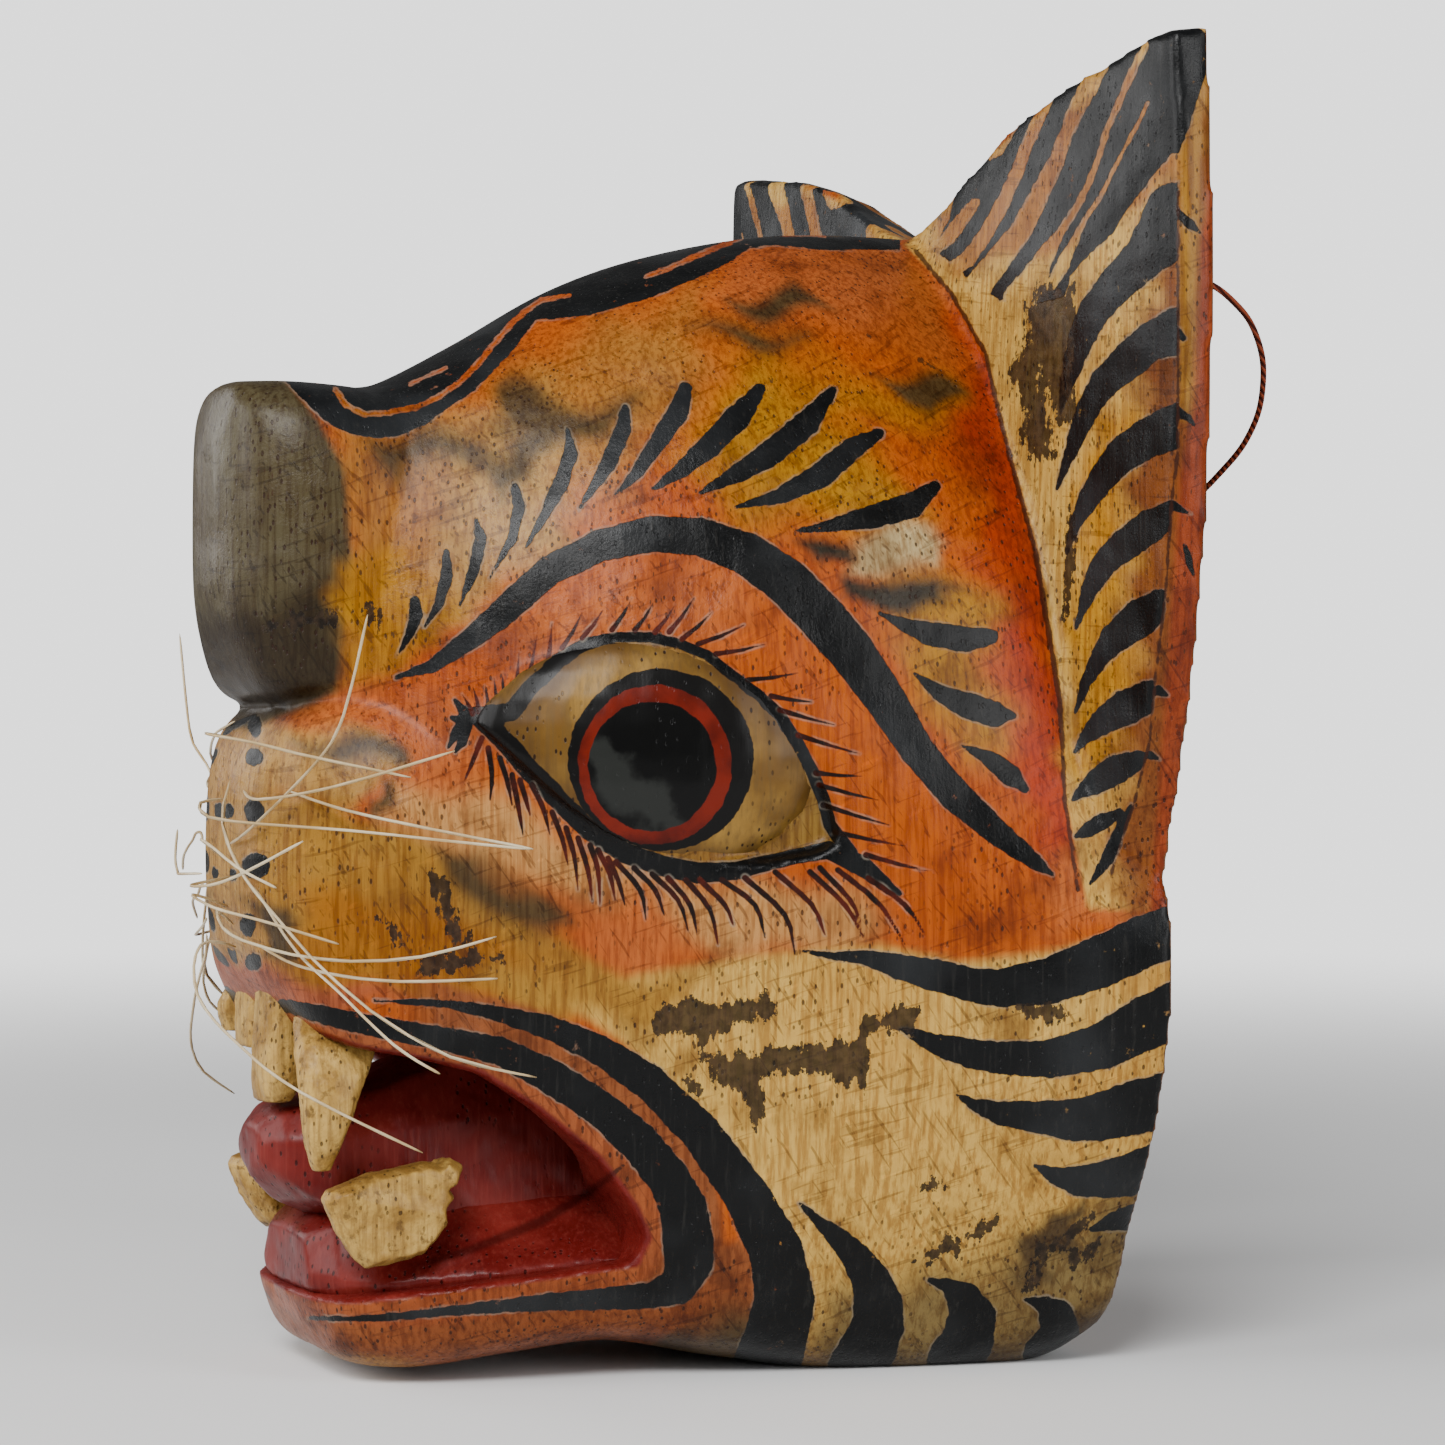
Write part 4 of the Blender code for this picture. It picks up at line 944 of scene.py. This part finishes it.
def knifed(mesh, size, depth):
    """The same form with shallow cuts of a knife, of about this size."""
    mesh.normal_update()
    cuts = []
    for vert in mesh.verts:
        near = noise.voronoi(vert.co / size)[0]
        cuts.append(vert.normal * depth * (near[1] - near[0] - 0.5))
    for vert, cut in zip(mesh.verts, cuts):
        vert.co += cut
    return mesh


def coordinates(mesh):
    return np.array([v.co[:] for v in mesh.verts])


def refined(mesh, wanted):
    """The same mesh with the edges cut in half where both ends are wanted."""
    mesh.verts.ensure_lookup_table()
    edges = [e for e in mesh.edges if wanted[e.verts[0].index] and wanted[e.verts[1].index]]
    bmesh.ops.subdivide_edges(mesh, edges=edges, cuts=1, use_grid_fill=True)
    mesh.verts.index_update()
    return mesh


def carried_normals(points, coarse_points, coarse_normals, coarse_faces):
    """Normals of the coarse surface at points that lie on it, so that cut faces shade as one."""
    tree = BVHTree.FromPolygons(coarse_points.tolist(), coarse_faces.tolist())
    hit = np.array([tree.find_nearest(Vector(point))[2] for point in points])
    corners = coarse_faces[hit].T
    a, b, c = coarse_points[corners]
    ab, ac, ap = b - a, c - a, points - a
    d00, d01, d11 = (ab * ab).sum(1), (ab * ac).sum(1), (ac * ac).sum(1)
    d20, d21 = (ap * ab).sum(1), (ap * ac).sum(1)
    under = np.maximum(d00 * d11 - d01 * d01, 1e-30)
    v = np.clip((d11 * d20 - d01 * d21) / under, 0, 1)[:, None]
    w = np.clip((d00 * d21 - d01 * d20) / under, 0, 1)[:, None]
    na, nb, nc = coarse_normals[corners]
    out = na * (1 - v - w) + nb * v + nc * w
    return out / np.linalg.norm(out, axis=1, keepdims=True)


def triangles(mesh):
    """Points, normals and triangles of a bmesh, which is used up."""
    bmesh.ops.triangulate(mesh, faces=mesh.faces)
    mesh.verts.index_update()
    mesh.normal_update()
    points = coordinates(mesh)
    normals = np.array([v.normal[:] for v in mesh.verts])
    faces = np.array([[v.index for v in f.verts] for f in mesh.faces])
    mesh.free()
    return points, normals, faces


def piece(name, points, normals, faces, floats, finish, ground=None):
    """A piece of the carving from triangles, with values painted on its points."""
    used, faces = np.unique(faces, return_inverse=True)
    data = bpy.data.meshes.new(name)
    data.from_pydata(points[used].tolist(), [], faces.reshape(-1, 3).tolist())
    for title, values in floats.items():
        layer = data.attributes.new(title, "FLOAT", "POINT").data
        layer.foreach_set("value", values[used].astype(np.float32))
    if ground is not None:
        layer = data.attributes.new("ground", "FLOAT_COLOR", "POINT").data
        rgba = np.concatenate([ground[used], np.ones((len(used), 1))], 1)
        layer.foreach_set("color", rgba.ravel().astype(np.float32))
    data.shade_smooth()
    data.normals_split_custom_set_from_vertices(normals[used].tolist())
    data.materials.append(finish)
    made = added(name, data)
    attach(made, "root")
    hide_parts("mask")


def carved_blank(keep):
    """The carving without its tongue, gum and teeth, and its eyeballs once more by themselves."""
    head = place("mask", lofted(HEAD, *HEAD_STEPS))

    def work(operation, *forms):
        for name, mesh in forms:
            boolean(head, place(name, mesh), operation)

    work(
        "UNION",
        ("nose_block", lofted(NOSE, *DETAIL_STEPS)),
        ("muzzle_pad", lofted(MUZZLE, *DETAIL_STEPS)),
        ("ear_panel", panel_form()),
    )
    mouth = prism(MOUTH, lambda depth: -MOUTH_REACH, lambda depth: MOUTH_REACH)
    cavity = ellipsoid(*MOUTH_CAVITY, *CAVITY_SEGMENTS)
    work("DIFFERENCE", ("mouth_cutter", mouth), ("mouth_cavity", cavity))
    balls = []
    for side, name in SIDES:
        socket, ball = eye_forms(side, name)
        boolean(head, socket, "DIFFERENCE")
        boolean(head, ball, "UNION")
        balls.append((name, ball))
    far = MASK_HEIGHT
    work(
        "DIFFERENCE",
        ("hollow", hollow_form()),
        ("cord_hole_left", cord_hole(1)),
        ("cord_hole_right", cord_hole(-1)),
        ("back_saw", block((-far, 0, -far), (far, far, 2 * far))),
        ("foot_saw", block((-far, -far, -far), (far, 2 * far, 0))),
    )
    mesh = solid_of(head)
    eyes = [(name, solid_of(ball)) for name, ball in balls]
    for old in list(bpy.data.objects):
        if old not in keep:
            bpy.data.objects.remove(old, do_unlink=True)
    return mesh, eyes


def add_carving(mesh):
    mesh = moved(remeshed(mesh, *CARVING_MESH))
    bmesh.ops.triangulate(mesh, faces=mesh.faces)
    coarse = triangles(mesh.copy())

    def in_front(points, margin):
        return (points[:, 1] < SHIFT_Y - 0.0012) & (hollow_gap(points) > margin)

    # Finer faces near the edges of the paint: round, and how near in pixels
    for level, reach in ((1, 8.0), (2, 6.0)):
        points = coordinates(mesh)
        px, py = picture(points)
        edges = [np.abs(paint(px, py)) for paint in (black_paint, lash_paint, crease_paint)]
        ink = nearest(*edges, np.abs(worn_paint(px, py)) + 2)
        wanted = in_front(points, 0.002) & (ink < reach)
        if level == 2:
            wanted &= (oval(px, py, *LID_OVAL) < 0) & (points[:, 0] > 0)
        mesh = refined(mesh, wanted)
    points, normals, faces = triangles(mesh)
    normals = carried_normals(points, *coarse)
    px, py = picture(points)
    floats = {
        "ink": black_paint(px, py) / INK_UNIT,
        "worn": worn_paint(px, py) / INK_UNIT,
        "mouth": mouth_depth(points),
        "bare": np.minimum(SHIFT_Y - points[:, 1], hollow_gap(points)) * 1000,
        "thin": thin(px, py),
        "lash": lash_paint(px, py) / INK_UNIT,
        "crease": crease_paint(px, py) / INK_UNIT,
    }
    ground = ground_paint(px, py)
    inside = ~in_front(points, 0.0015)[faces].all(1)
    across, depth, _ = points[faces].mean(1).T
    wood = carved_material()
    piece("carving_back", points, normals, faces[inside], floats, wood, ground)
    for name, side in (("left", ~inside & (across > 0)), ("right", ~inside & (across <= 0))):
        halfway = np.median(depth[side])
        for end, part in (("front", depth <= halfway), ("rear", depth > halfway)):
            chosen = faces[side & part]
            piece(f"carving_{name}_{end}", points, normals, chosen, floats, wood, ground)


def hollow_gap(points):
    """Rough distance from the wall of the hollow, in metres, 1 where it is far away."""
    form = hollow_form()
    tree = BVHTree.FromBMesh(form)
    form.free()
    out = np.ones(len(points))
    behind = points[:, 1] > SHIFT_Y - HOLLOW_DEPTH - 0.004
    for i in np.flatnonzero(behind & (np.abs(points[:, 0]) < 0.10)):
        spot = Vector(points[i]) - Vector((0, SHIFT_Y, 0))
        near, _, _, gap = tree.find_nearest(spot, 0.006)
        if near is not None:
            out[i] = gap
    return out


def add_eyes(eyes):
    for name, mesh in eyes:
        mesh = remeshed(moved(mesh), *EYE_MESH)
        for vert in mesh.verts:
            vert.co.x += math.copysign(EYE_LIFT, vert.co.x)
        points, normals, faces = triangles(mesh)
        px, py = picture(points)
        gaps = {
            "ring": oval(px, py, *IRIS_BLACK),
            "red": oval(px, py, *IRIS_RED),
            "pupil": oval(px, py, *PUPIL),
            # distance to the painted reflection in the pupil
            "pupil_reflection": swath(px, py, PUPIL_REFLECTION),
            "lid": black_paint(px, py),
        }
        floats = {title: gap / INK_UNIT for title, gap in gaps.items()}
        piece(f"eye_{name}", points, normals, faces, floats, eye_material())


def add_mouth_parts():
    red = mouth_material()
    for name, table in (("tongue_form", TONGUE), ("gum_form", GUM)):
        mesh = remeshed(moved(lofted(table, *PLANE_STEPS)), *MOUTH_MESH)
        shape = triangles(knifed(mesh, *MOUTH_CUTS))
        # Painted shade along the ridge of the mouth
        ridge = swath(*picture(shape[0]), MOUTH_RIDGE) / INK_UNIT
        piece(name, *shape, {"crease": ridge}, red)
    ivory = tooth_material()
    upper = (
        ("upper_canine_form", UPPER_CANINE), ("broken_canine_form", BROKEN_CANINE),
        ("near_incisor_form", NEAR_INCISOR), ("far_incisor_form", FAR_INCISOR),
    )
    teeth = [(name, tooth(spline(table, TOOTH_STEPS))) for name, table in upper]
    teeth += [(f"lower_canine_{name}_form", leaf_tooth(side)) for side, name in SIDES]
    for name, mesh in teeth:
        mesh = knifed(remeshed(moved(mesh), *TOOTH_MESH), *TOOTH_CUTS)
        if name == "near_incisor_form":
            moved(mesh, INCISOR_SHIFT)
        if name.startswith("lower"):
            ridge = np.clip(1 - swath(*picture(coordinates(mesh)), TOOTH_RIDGE) / 14, 0, 1)
            for vert, rise in zip(mesh.verts, ridge):
                vert.co.x += math.copysign(RIDGE_LIFT * rise, vert.co.x)
        points, normals, faces = triangles(mesh)
        # Painted shade: the teeth darken on faces turned away from the side and the front
        facing = 0.75 * np.abs(normals[:, 0]) - 0.65 * np.minimum(normals[:, 1], 0)
        edge = np.clip((0.8 - facing) / 0.5, 0, 1)
        piece(name, points, normals, faces, {"edge": edge}, ivory)


class Nodes:
    """Short hand for building a material out of nodes. Tuples are display colours out of 255."""

    def __init__(self, name):
        self.made = bpy.data.materials.new(name)
        self.made.use_nodes = True
        self.tree = self.made.node_tree
        self.shader = self.tree.nodes["Principled BSDF"]

    def add(self, kind, **settings):
        node = self.tree.nodes.new(kind)
        for key, value in settings.items():
            setattr(node, key, value)
        return node

    def put(self, value, socket):
        if isinstance(value, bpy.types.NodeSocket):
            self.tree.links.new(value, socket)
        elif isinstance(value, tuple):
            socket.default_value = (*linear(value), 1.0)
        elif isinstance(value, np.ndarray):
            socket.default_value = (*value, 1.0)
        else:
            socket.default_value = value

    def fill(self, node, *values):
        for value, socket in zip(values, node.inputs):
            self.put(value, socket)
        return node.outputs[0]

    def plus(self, a, b):
        return self.fill(self.add("ShaderNodeMath", operation="ADD"), a, b)

    def minus(self, a, b):
        return self.fill(self.add("ShaderNodeMath", operation="SUBTRACT"), a, b)

    def times(self, a, b):
        return self.fill(self.add("ShaderNodeMath", operation="MULTIPLY"), a, b)

    def ramp(self, value, low, high, start=0.0, end=1.0):
        node = self.add("ShaderNodeMapRange", interpolation_type="SMOOTHSTEP")
        return self.fill(node, value, low, high, start, end)

    def mix(self, share, a, b, blend="MIX"):
        node = self.add("ShaderNodeMix", data_type="RGBA", blend_type=blend)
        self.put(share, node.inputs[0])
        self.put(a, node.inputs[6])
        self.put(b, node.inputs[7])
        return node.outputs[2]

    def glaze(self, colour, tone, low, high, most, paint):
        """A colour with some paint over it where the tone is high."""
        return self.mix(self.ramp(tone, low, high, 0.0, most), colour, paint)

    def tint(self, colour, tone, low, high, most, paint):
        """A colour multiplied by a paint where the tone is high."""
        return self.glaze(colour, tone, low, high, most, self.mix(1.0, colour, paint, "MULTIPLY"))

    def drawn(self, gap):
        """1 on the inner side of a painted edge."""
        return self.ramp(gap, -0.06, 0.06, 1.0, 0.0)

    def place(self, scale=(1, 1, 1), turn=(0, 0, 0)):
        where = self.add("ShaderNodeTexCoord").outputs["Object"]
        node = self.add("ShaderNodeMapping", vector_type="TEXTURE")
        self.put(where, node.inputs[0])
        node.inputs["Scale"].default_value = [1 / share for share in scale]
        node.inputs["Rotation"].default_value = turn
        return node.outputs[0]

    def noise(self, scale, detail, place=None, rough=0.5):
        node = self.add("ShaderNodeTexNoise")
        self.put(place or self.place(), node.inputs["Vector"])
        node.inputs["Scale"].default_value = scale
        node.inputs["Detail"].default_value = detail
        node.inputs["Roughness"].default_value = rough
        return node.outputs["Fac"]

    def cells(self, scale, stretch, low, high):
        """1 in the middle of upright cells, 0 outside."""
        node = self.add("ShaderNodeTexVoronoi")
        self.put(self.place((1, 1, stretch)), node.inputs["Vector"])
        node.inputs["Scale"].default_value = scale
        return self.ramp(node.outputs["Distance"], low, high, 1.0, 0.0)

    def value(self, name):
        return self.add("ShaderNodeAttribute", attribute_name=name).outputs["Fac"]

    def bump(self, height, strength, distance, under=None):
        node = self.add("ShaderNodeBump")
        node.inputs["Strength"].default_value = strength
        node.inputs["Distance"].default_value = distance
        self.put(height, node.inputs["Height"])
        if under is not None:
            self.put(under, node.inputs["Normal"])
        return node.outputs[0]

    def finish(self, colour, rough, normal, coat, coat_rough):
        self.put(colour, self.shader.inputs["Base Color"])
        self.put(rough, self.shader.inputs["Roughness"])
        if normal is not None:
            self.put(normal, self.shader.inputs["Normal"])
        self.shader.inputs["Specular IOR Level"].default_value = 0.13
        self.shader.inputs["Coat Weight"].default_value = coat
        self.shader.inputs["Coat Roughness"].default_value = coat_rough
        return self.made

    def pores(self, scale):
        """Short upright pores of the wood, 1 in them."""
        some = self.ramp(self.noise(34, 3), 0.38, 0.56)
        return self.times(self.cells(scale, 0.5, 0.24 * 0.6, 0.24), some)

    def grain(self):
        """Fine upright streaks of the wood."""
        return self.noise(900, 3, self.place((1, 1, 0.035)), 0.6)

    def mouth_red(self, patch, streaks):
        """The wine red of the mouth, with a painted highlight in paler streaks along the grain, and
        painted shade along its creases.
        """
        red = self.mix(self.ramp(patch, 0.35, 0.7), (108, 32, 29), (132, 52, 45))
        red = self.glaze(red, streaks, 0.45, 0.75, 0.32, (150, 78, 70))
        return self.mix(self.ramp(self.value("crease"), -0.1, 0.5, 0.6, 0.0), red, (54, 10, 10))


def carved_material():
    n = Nodes("painted_carving")
    streaks = n.grain()
    wide = n.noise(22, 4)
    patch = n.noise(75, 4, rough=0.6)
    fine = n.noise(420, 3)
    thread = n.noise(430, 4, n.place((1, 1, 0.06)), 0.7)
    dirt = n.noise(38, 5, rough=0.66)
    scratch = n.noise(500, 2, n.place((1, 0.08, 1), (0.5, 0, 0)))
    cross = n.noise(900, 2, n.place((0.08, 0.08, 1), (0.42, 0.1, 0.2)))
    slant = n.noise(820, 2, n.place((1, 1, 0.06), (0.62, 0, 0)))
    lighter = np.array((1.5, 1.45, 1.35))
    colour = n.add("ShaderNodeAttribute", attribute_name="ground").outputs["Color"]
    colour = n.tint(colour, wide, 0.35, 0.7, 0.5, (222, 190, 120))
    colour = n.tint(colour, patch, 0.48, 0.72, 0.55, (176, 152, 118))
    colour = n.tint(colour, streaks, 0.4, 0.65, 0.6, (188, 158, 122))
    colour = n.tint(colour, thread, 0.56, 0.7, 0.28, (150, 122, 92))
    colour = n.tint(colour, dirt, 0.54, 0.7, 0.5, (168, 146, 120))
    colour = n.tint(colour, scratch, 0.64, 0.76, 0.5, lighter)
    colour = n.tint(colour, cross, 0.6, 0.68, 0.42, (150, 122, 96))
    colour = n.tint(colour, slant, 0.6, 0.68, 0.5, (140, 112, 86))
    chips = n.noise(150, 5, n.place((1, 1, 0.4)), 0.68)
    colour = n.glaze(colour, chips, 0.69, 0.715, 0.75, (70, 54, 40))
    ticks = n.times(n.cells(880, 0.28, 0.12, 0.2), n.ramp(wide, 0.4, 0.6, 0.15, 0.75))
    colour = n.mix(ticks, colour, (74, 48, 28))
    holes = n.pores(620)
    colour = n.mix(n.times(holes, 0.8), colour, (60, 36, 24))

    # Black paint, with a patchy pale grey halo round it
    calm = n.ramp(n.value("thin"), 0.0, 1.0, 1.0, 0.4)
    wobble = n.times(n.ramp(fine, 0.3, 0.7, -0.08, 0.08), calm)
    edge = n.plus(n.value("ink"), wobble)
    halo_patches = n.ramp(n.noise(110, 3), 0.42, 0.66, 0.0, 0.5)
    colour = n.mix(n.times(n.ramp(edge, 0.06, 0.26, 1.0, 0.0), halo_patches), colour, (146, 138, 124))
    # Large soft grey patches in the black are a painted sheen
    black = n.mix(n.ramp(n.noise(26, 4), 0.42, 0.7, 0.0, 0.6), (24, 25, 26), (66, 68, 70))
    black = n.glaze(black, streaks, 0.54, 0.74, 0.22, (82, 80, 76))
    gone = n.ramp(n.noise(240, 4, rough=0.65), 0.66, 0.74, 1.0, 0.35)
    inked = n.times(n.drawn(edge), gone)
    colour = n.mix(inked, colour, black)

    # Eyelashes
    edge = n.plus(n.value("lash"), n.times(wobble, 0.7))
    halo_patches = n.ramp(n.noise(180, 3), 0.45, 0.66, 0.0, 0.35)
    colour = n.mix(n.times(n.ramp(edge, 0.05, 0.3, 1.0, 0.0), halo_patches), colour, (170, 160, 146))
    brown = n.mix(n.ramp(patch, 0.4, 0.6), (40, 24, 18), (92, 36, 20))
    colour = n.mix(n.ramp(edge, -0.06, 0.08, 1.0, 0.0), colour, brown)

    # Worn places with a fibrous edge, and painted shade as dark lines along the creases
    fibres = n.noise(330, 4, n.place((1, 1, 0.16)), 0.62)
    crumbs = n.noise(420, 4, rough=0.7)
    ragged = n.plus(n.ramp(fibres, 0.3, 0.7, -0.65, 0.65), n.ramp(crumbs, 0.3, 0.7, -0.45, 0.45))
    worn = n.ramp(n.plus(n.value("worn"), ragged), -0.06, 0.08, 1.0, 0.0)
    dark = n.mix(n.ramp(fine, 0.35, 0.65), (40, 33, 28), (76, 62, 48))
    colour = n.mix(n.times(worn, 0.92), colour, dark)
    crease = n.ramp(n.plus(n.value("crease"), wobble), -0.05, 0.1, 0.85, 0.0)
    colour = n.mix(crease, colour, (66, 38, 26))

    # Inside of the mouth, with painted shade deeper in, and bare wood behind
    red = n.mouth_red(patch, streaks)
    red = n.mix(n.ramp(n.value("mouth"), -2.0, 0.0, 0.95, 0.0), red, (66, 11, 11))
    colour = n.mix(n.ramp(n.value("mouth"), 0.05, 0.16, 1.0, 0.0), colour, red)
    bands = n.noise(14, 4, n.place((1, 1, 0.15)))
    wood = n.mix(n.ramp(bands, 0.35, 0.65), (120, 84, 52), (158, 118, 76))
    wood = n.glaze(wood, streaks, 0.4, 0.7, 0.6, (96, 64, 38))
    bare = n.ramp(n.plus(n.value("bare"), n.ramp(fine, 0.3, 0.7, -0.2, 0.2)), 0.3, 0.8, 1.0, 0.0)
    colour = n.mix(bare, colour, wood)

    height = n.plus(n.times(streaks, 0.35), n.times(holes, -1.0))
    height = n.plus(height, n.times(inked, 0.35))
    height = n.minus(height, n.times(worn, 0.6))
    height = n.plus(height, n.times(scratch, 0.25))
    height = n.plus(height, n.times(n.noise(1300, 3, rough=0.7), 0.5))
    normal = n.bump(height, 0.6, 0.0004, n.bump(n.noise(55, 2), 0.5, 0.004))
    rough = n.minus(n.ramp(patch, 0.3, 0.7, 0.3, 0.46), n.times(inked, 0.06))
    return n.finish(colour, n.plus(rough, n.times(bare, 0.25)), normal, 0.07, 0.24)


def eye_material():
    n = Nodes("painted_eye")
    streaks = n.grain()
    white = n.mix(n.ramp(n.noise(60, 4), 0.35, 0.65), (162, 132, 74), (120, 92, 46))
    white = n.glaze(white, streaks, 0.4, 0.7, 0.5, (112, 92, 58))
    # Painted shade: the white darkens towards its corners, away from the iris, and under the black
    # of the lids
    white = n.glaze(white, n.value("ring"), 1.5, 12.0, 0.7, (92, 68, 36))
    white = n.mix(n.ramp(n.value("lid"), 0.2, 2.6, 0.6, 0.0), white, (84, 60, 32))
    holes = n.pores(640)
    white = n.mix(holes, white, (60, 44, 30))
    wobble = n.ramp(n.noise(300, 3), 0.3, 0.7, -0.1, 0.1)
    red = n.mix(n.ramp(n.noise(90, 3), 0.35, 0.65), (88, 26, 14), (126, 44, 24))
    # The pupil is lightened to grey along its painted reflection
    pupil_reflection = n.plus(n.value("pupil_reflection"), n.ramp(n.noise(140, 4), 0.3, 0.7, -1.0, 1.0))
    dark = n.mix(n.ramp(pupil_reflection, -1.0, 0.6, 0.55, 0.0), (16, 16, 15), (70, 72, 69))
    colour = white
    layers = (("ring", (26, 24, 23)), ("red", red), ("pupil", dark), ("lid", (24, 22, 21)))
    for name, paint in layers:
        colour = n.mix(n.drawn(n.plus(n.value(name), wobble)), colour, paint)
    height = n.minus(n.times(streaks, 0.3), holes)
    normal = n.bump(height, 0.35, 0.0003, n.bump(n.noise(60, 2), 0.3, 0.003))
    return n.finish(colour, 0.34, normal, 0.06, 0.2)


def mouth_material():
    n = Nodes("painted_mouth")
    streaks = n.grain()
    patch = n.noise(60, 4)
    holes = n.pores(620)
    colour = n.mix(n.times(holes, 0.8), n.mouth_red(patch, streaks), (50, 10, 10))
    height = n.minus(n.times(streaks, 0.35), holes)
    normal = n.bump(height, 0.6, 0.0005, n.bump(n.noise(45, 2), 0.5, 0.004))
    return n.finish(colour, n.ramp(patch, 0.3, 0.7, 0.34, 0.5), normal, 0.12, 0.25)


def tooth_material():
    n = Nodes("painted_teeth")
    streaks = n.grain()
    patch = n.noise(110, 4, rough=0.6)
    colour = n.mix(n.ramp(patch, 0.35, 0.7), (198, 168, 104), (158, 126, 68))
    # Painted shade on the faces turned away from the side and the front
    colour = n.glaze(colour, n.value("edge"), 0.1, 0.9, 0.7, (120, 88, 44))
    colour = n.glaze(colour, streaks, 0.42, 0.68, 0.55, (134, 104, 58))
    colour = n.glaze(colour, n.noise(320, 4, rough=0.65), 0.55, 0.68, 0.7, (104, 78, 42))
    holes = n.pores(700)
    colour = n.mix(n.times(holes, 0.8), colour, (70, 48, 28))
    height = n.minus(n.times(streaks, 0.4), holes)
    normal = n.bump(height, 0.8, 0.0005, n.bump(n.noise(140, 4, rough=0.6), 0.6, 0.002))
    return n.finish(colour, 0.46, normal, 0.08, 0.2)


def bristle_material():
    n = Nodes("bristle")
    colour = n.mix(n.ramp(n.noise(60, 3), 0.35, 0.65), (222, 208, 178), (196, 172, 130))
    n.shader.inputs["Transmission Weight"].default_value = 0.15
    return n.finish(colour, 0.32, n.bump(n.noise(700, 2), 0.2, 0.0002), 0.1, 0.2)


def cord_material():
    n = Nodes("twisted_cord")
    twist = n.add("ShaderNodeTexWave", wave_type="BANDS", bands_direction="DIAGONAL")
    n.put(n.place(), twist.inputs["Vector"])
    twist.inputs["Scale"].default_value = 260
    twist.inputs["Distortion"].default_value = 1.0
    turns = twist.outputs["Fac"]
    colour = n.mix(n.ramp(turns, 0.2, 0.7), (84, 36, 24), (158, 88, 62))
    return n.finish(colour, 0.7, n.bump(turns, 0.8, 0.0004), 0.0, 0.3)


def dress_whiskers():
    """The bristles of the frame, rounded and in a material of their own."""
    hair = bristle_material()
    for name in frame["nodes"]:
        if name.startswith("whisker_"):
            thing = bpy.data.objects[name]
            thing.data.materials.clear()
            thing.data.materials.append(hair)
            thing.modifiers.new("weld", "WELD").merge_threshold = 0.00001
            rounder = thing.modifiers.new("rounder", "SUBSURF")
            rounder.levels = rounder.render_levels = 1
            thing.data.shade_smooth()


def add_stage():
    """A pale floor that fades out with distance, and a world that the camera sees lighter."""
    floor = bpy.data.meshes.new("floor")
    r = FLOOR_HALF
    floor.from_pydata([(-r, -r, 0), (r, -r, 0), (r, r, 0), (-r, r, 0)], [], [(0, 1, 2, 3)])
    n = Nodes("pale_floor")
    far = n.add("ShaderNodeVectorMath", operation="LENGTH")
    n.put(n.place(), far.inputs[0])
    n.put(n.ramp(far.outputs["Value"], 0.45, 1.7, 1.0, 0.0), n.shader.inputs["Alpha"])
    floor.materials.append(n.finish((236, 236, 236), 0.85, None, 0.0, 0.3))
    made = added("floor", floor)
    world = bpy.data.worlds.new("studio")
    bpy.context.scene.world = world
    world.use_nodes = True
    tree = world.node_tree
    dim = tree.nodes["Background"]
    dim.inputs["Color"].default_value = (1, 1, 1, 1)
    dim.inputs["Strength"].default_value = WORLD_LIGHT
    pale = tree.nodes.new("ShaderNodeBackground")
    pale.inputs["Strength"].default_value = WORLD_SEEN
    both = tree.nodes.new("ShaderNodeMixShader")
    seen = tree.nodes.new("ShaderNodeLightPath").outputs["Is Camera Ray"]
    for output, socket in zip((seen, dim.outputs[0], pale.outputs[0]), both.inputs):
        tree.links.new(output, socket)
    tree.links.new(both.outputs[0], tree.nodes["World Output"].inputs[0])


def add_lights():
    for name, where, aim, size, power in LIGHTS:
        data = bpy.data.lights.new(name, "AREA")
        data.shape = "RECTANGLE"
        data.size, data.size_y = size
        data.energy = power
        made = added(name, data)
        made.location = where
        made.rotation_euler = (Vector(aim) - Vector(where)).to_track_quat("-Z", "Y").to_euler()


def main():
    add_camera()
    add_hanging_cord()
    blank, eyes = carved_blank(set(bpy.data.objects))
    add_carving(blank)
    add_eyes(eyes)
    add_mouth_parts()
    dress_whiskers()
    add_stage()
    add_lights()


main()
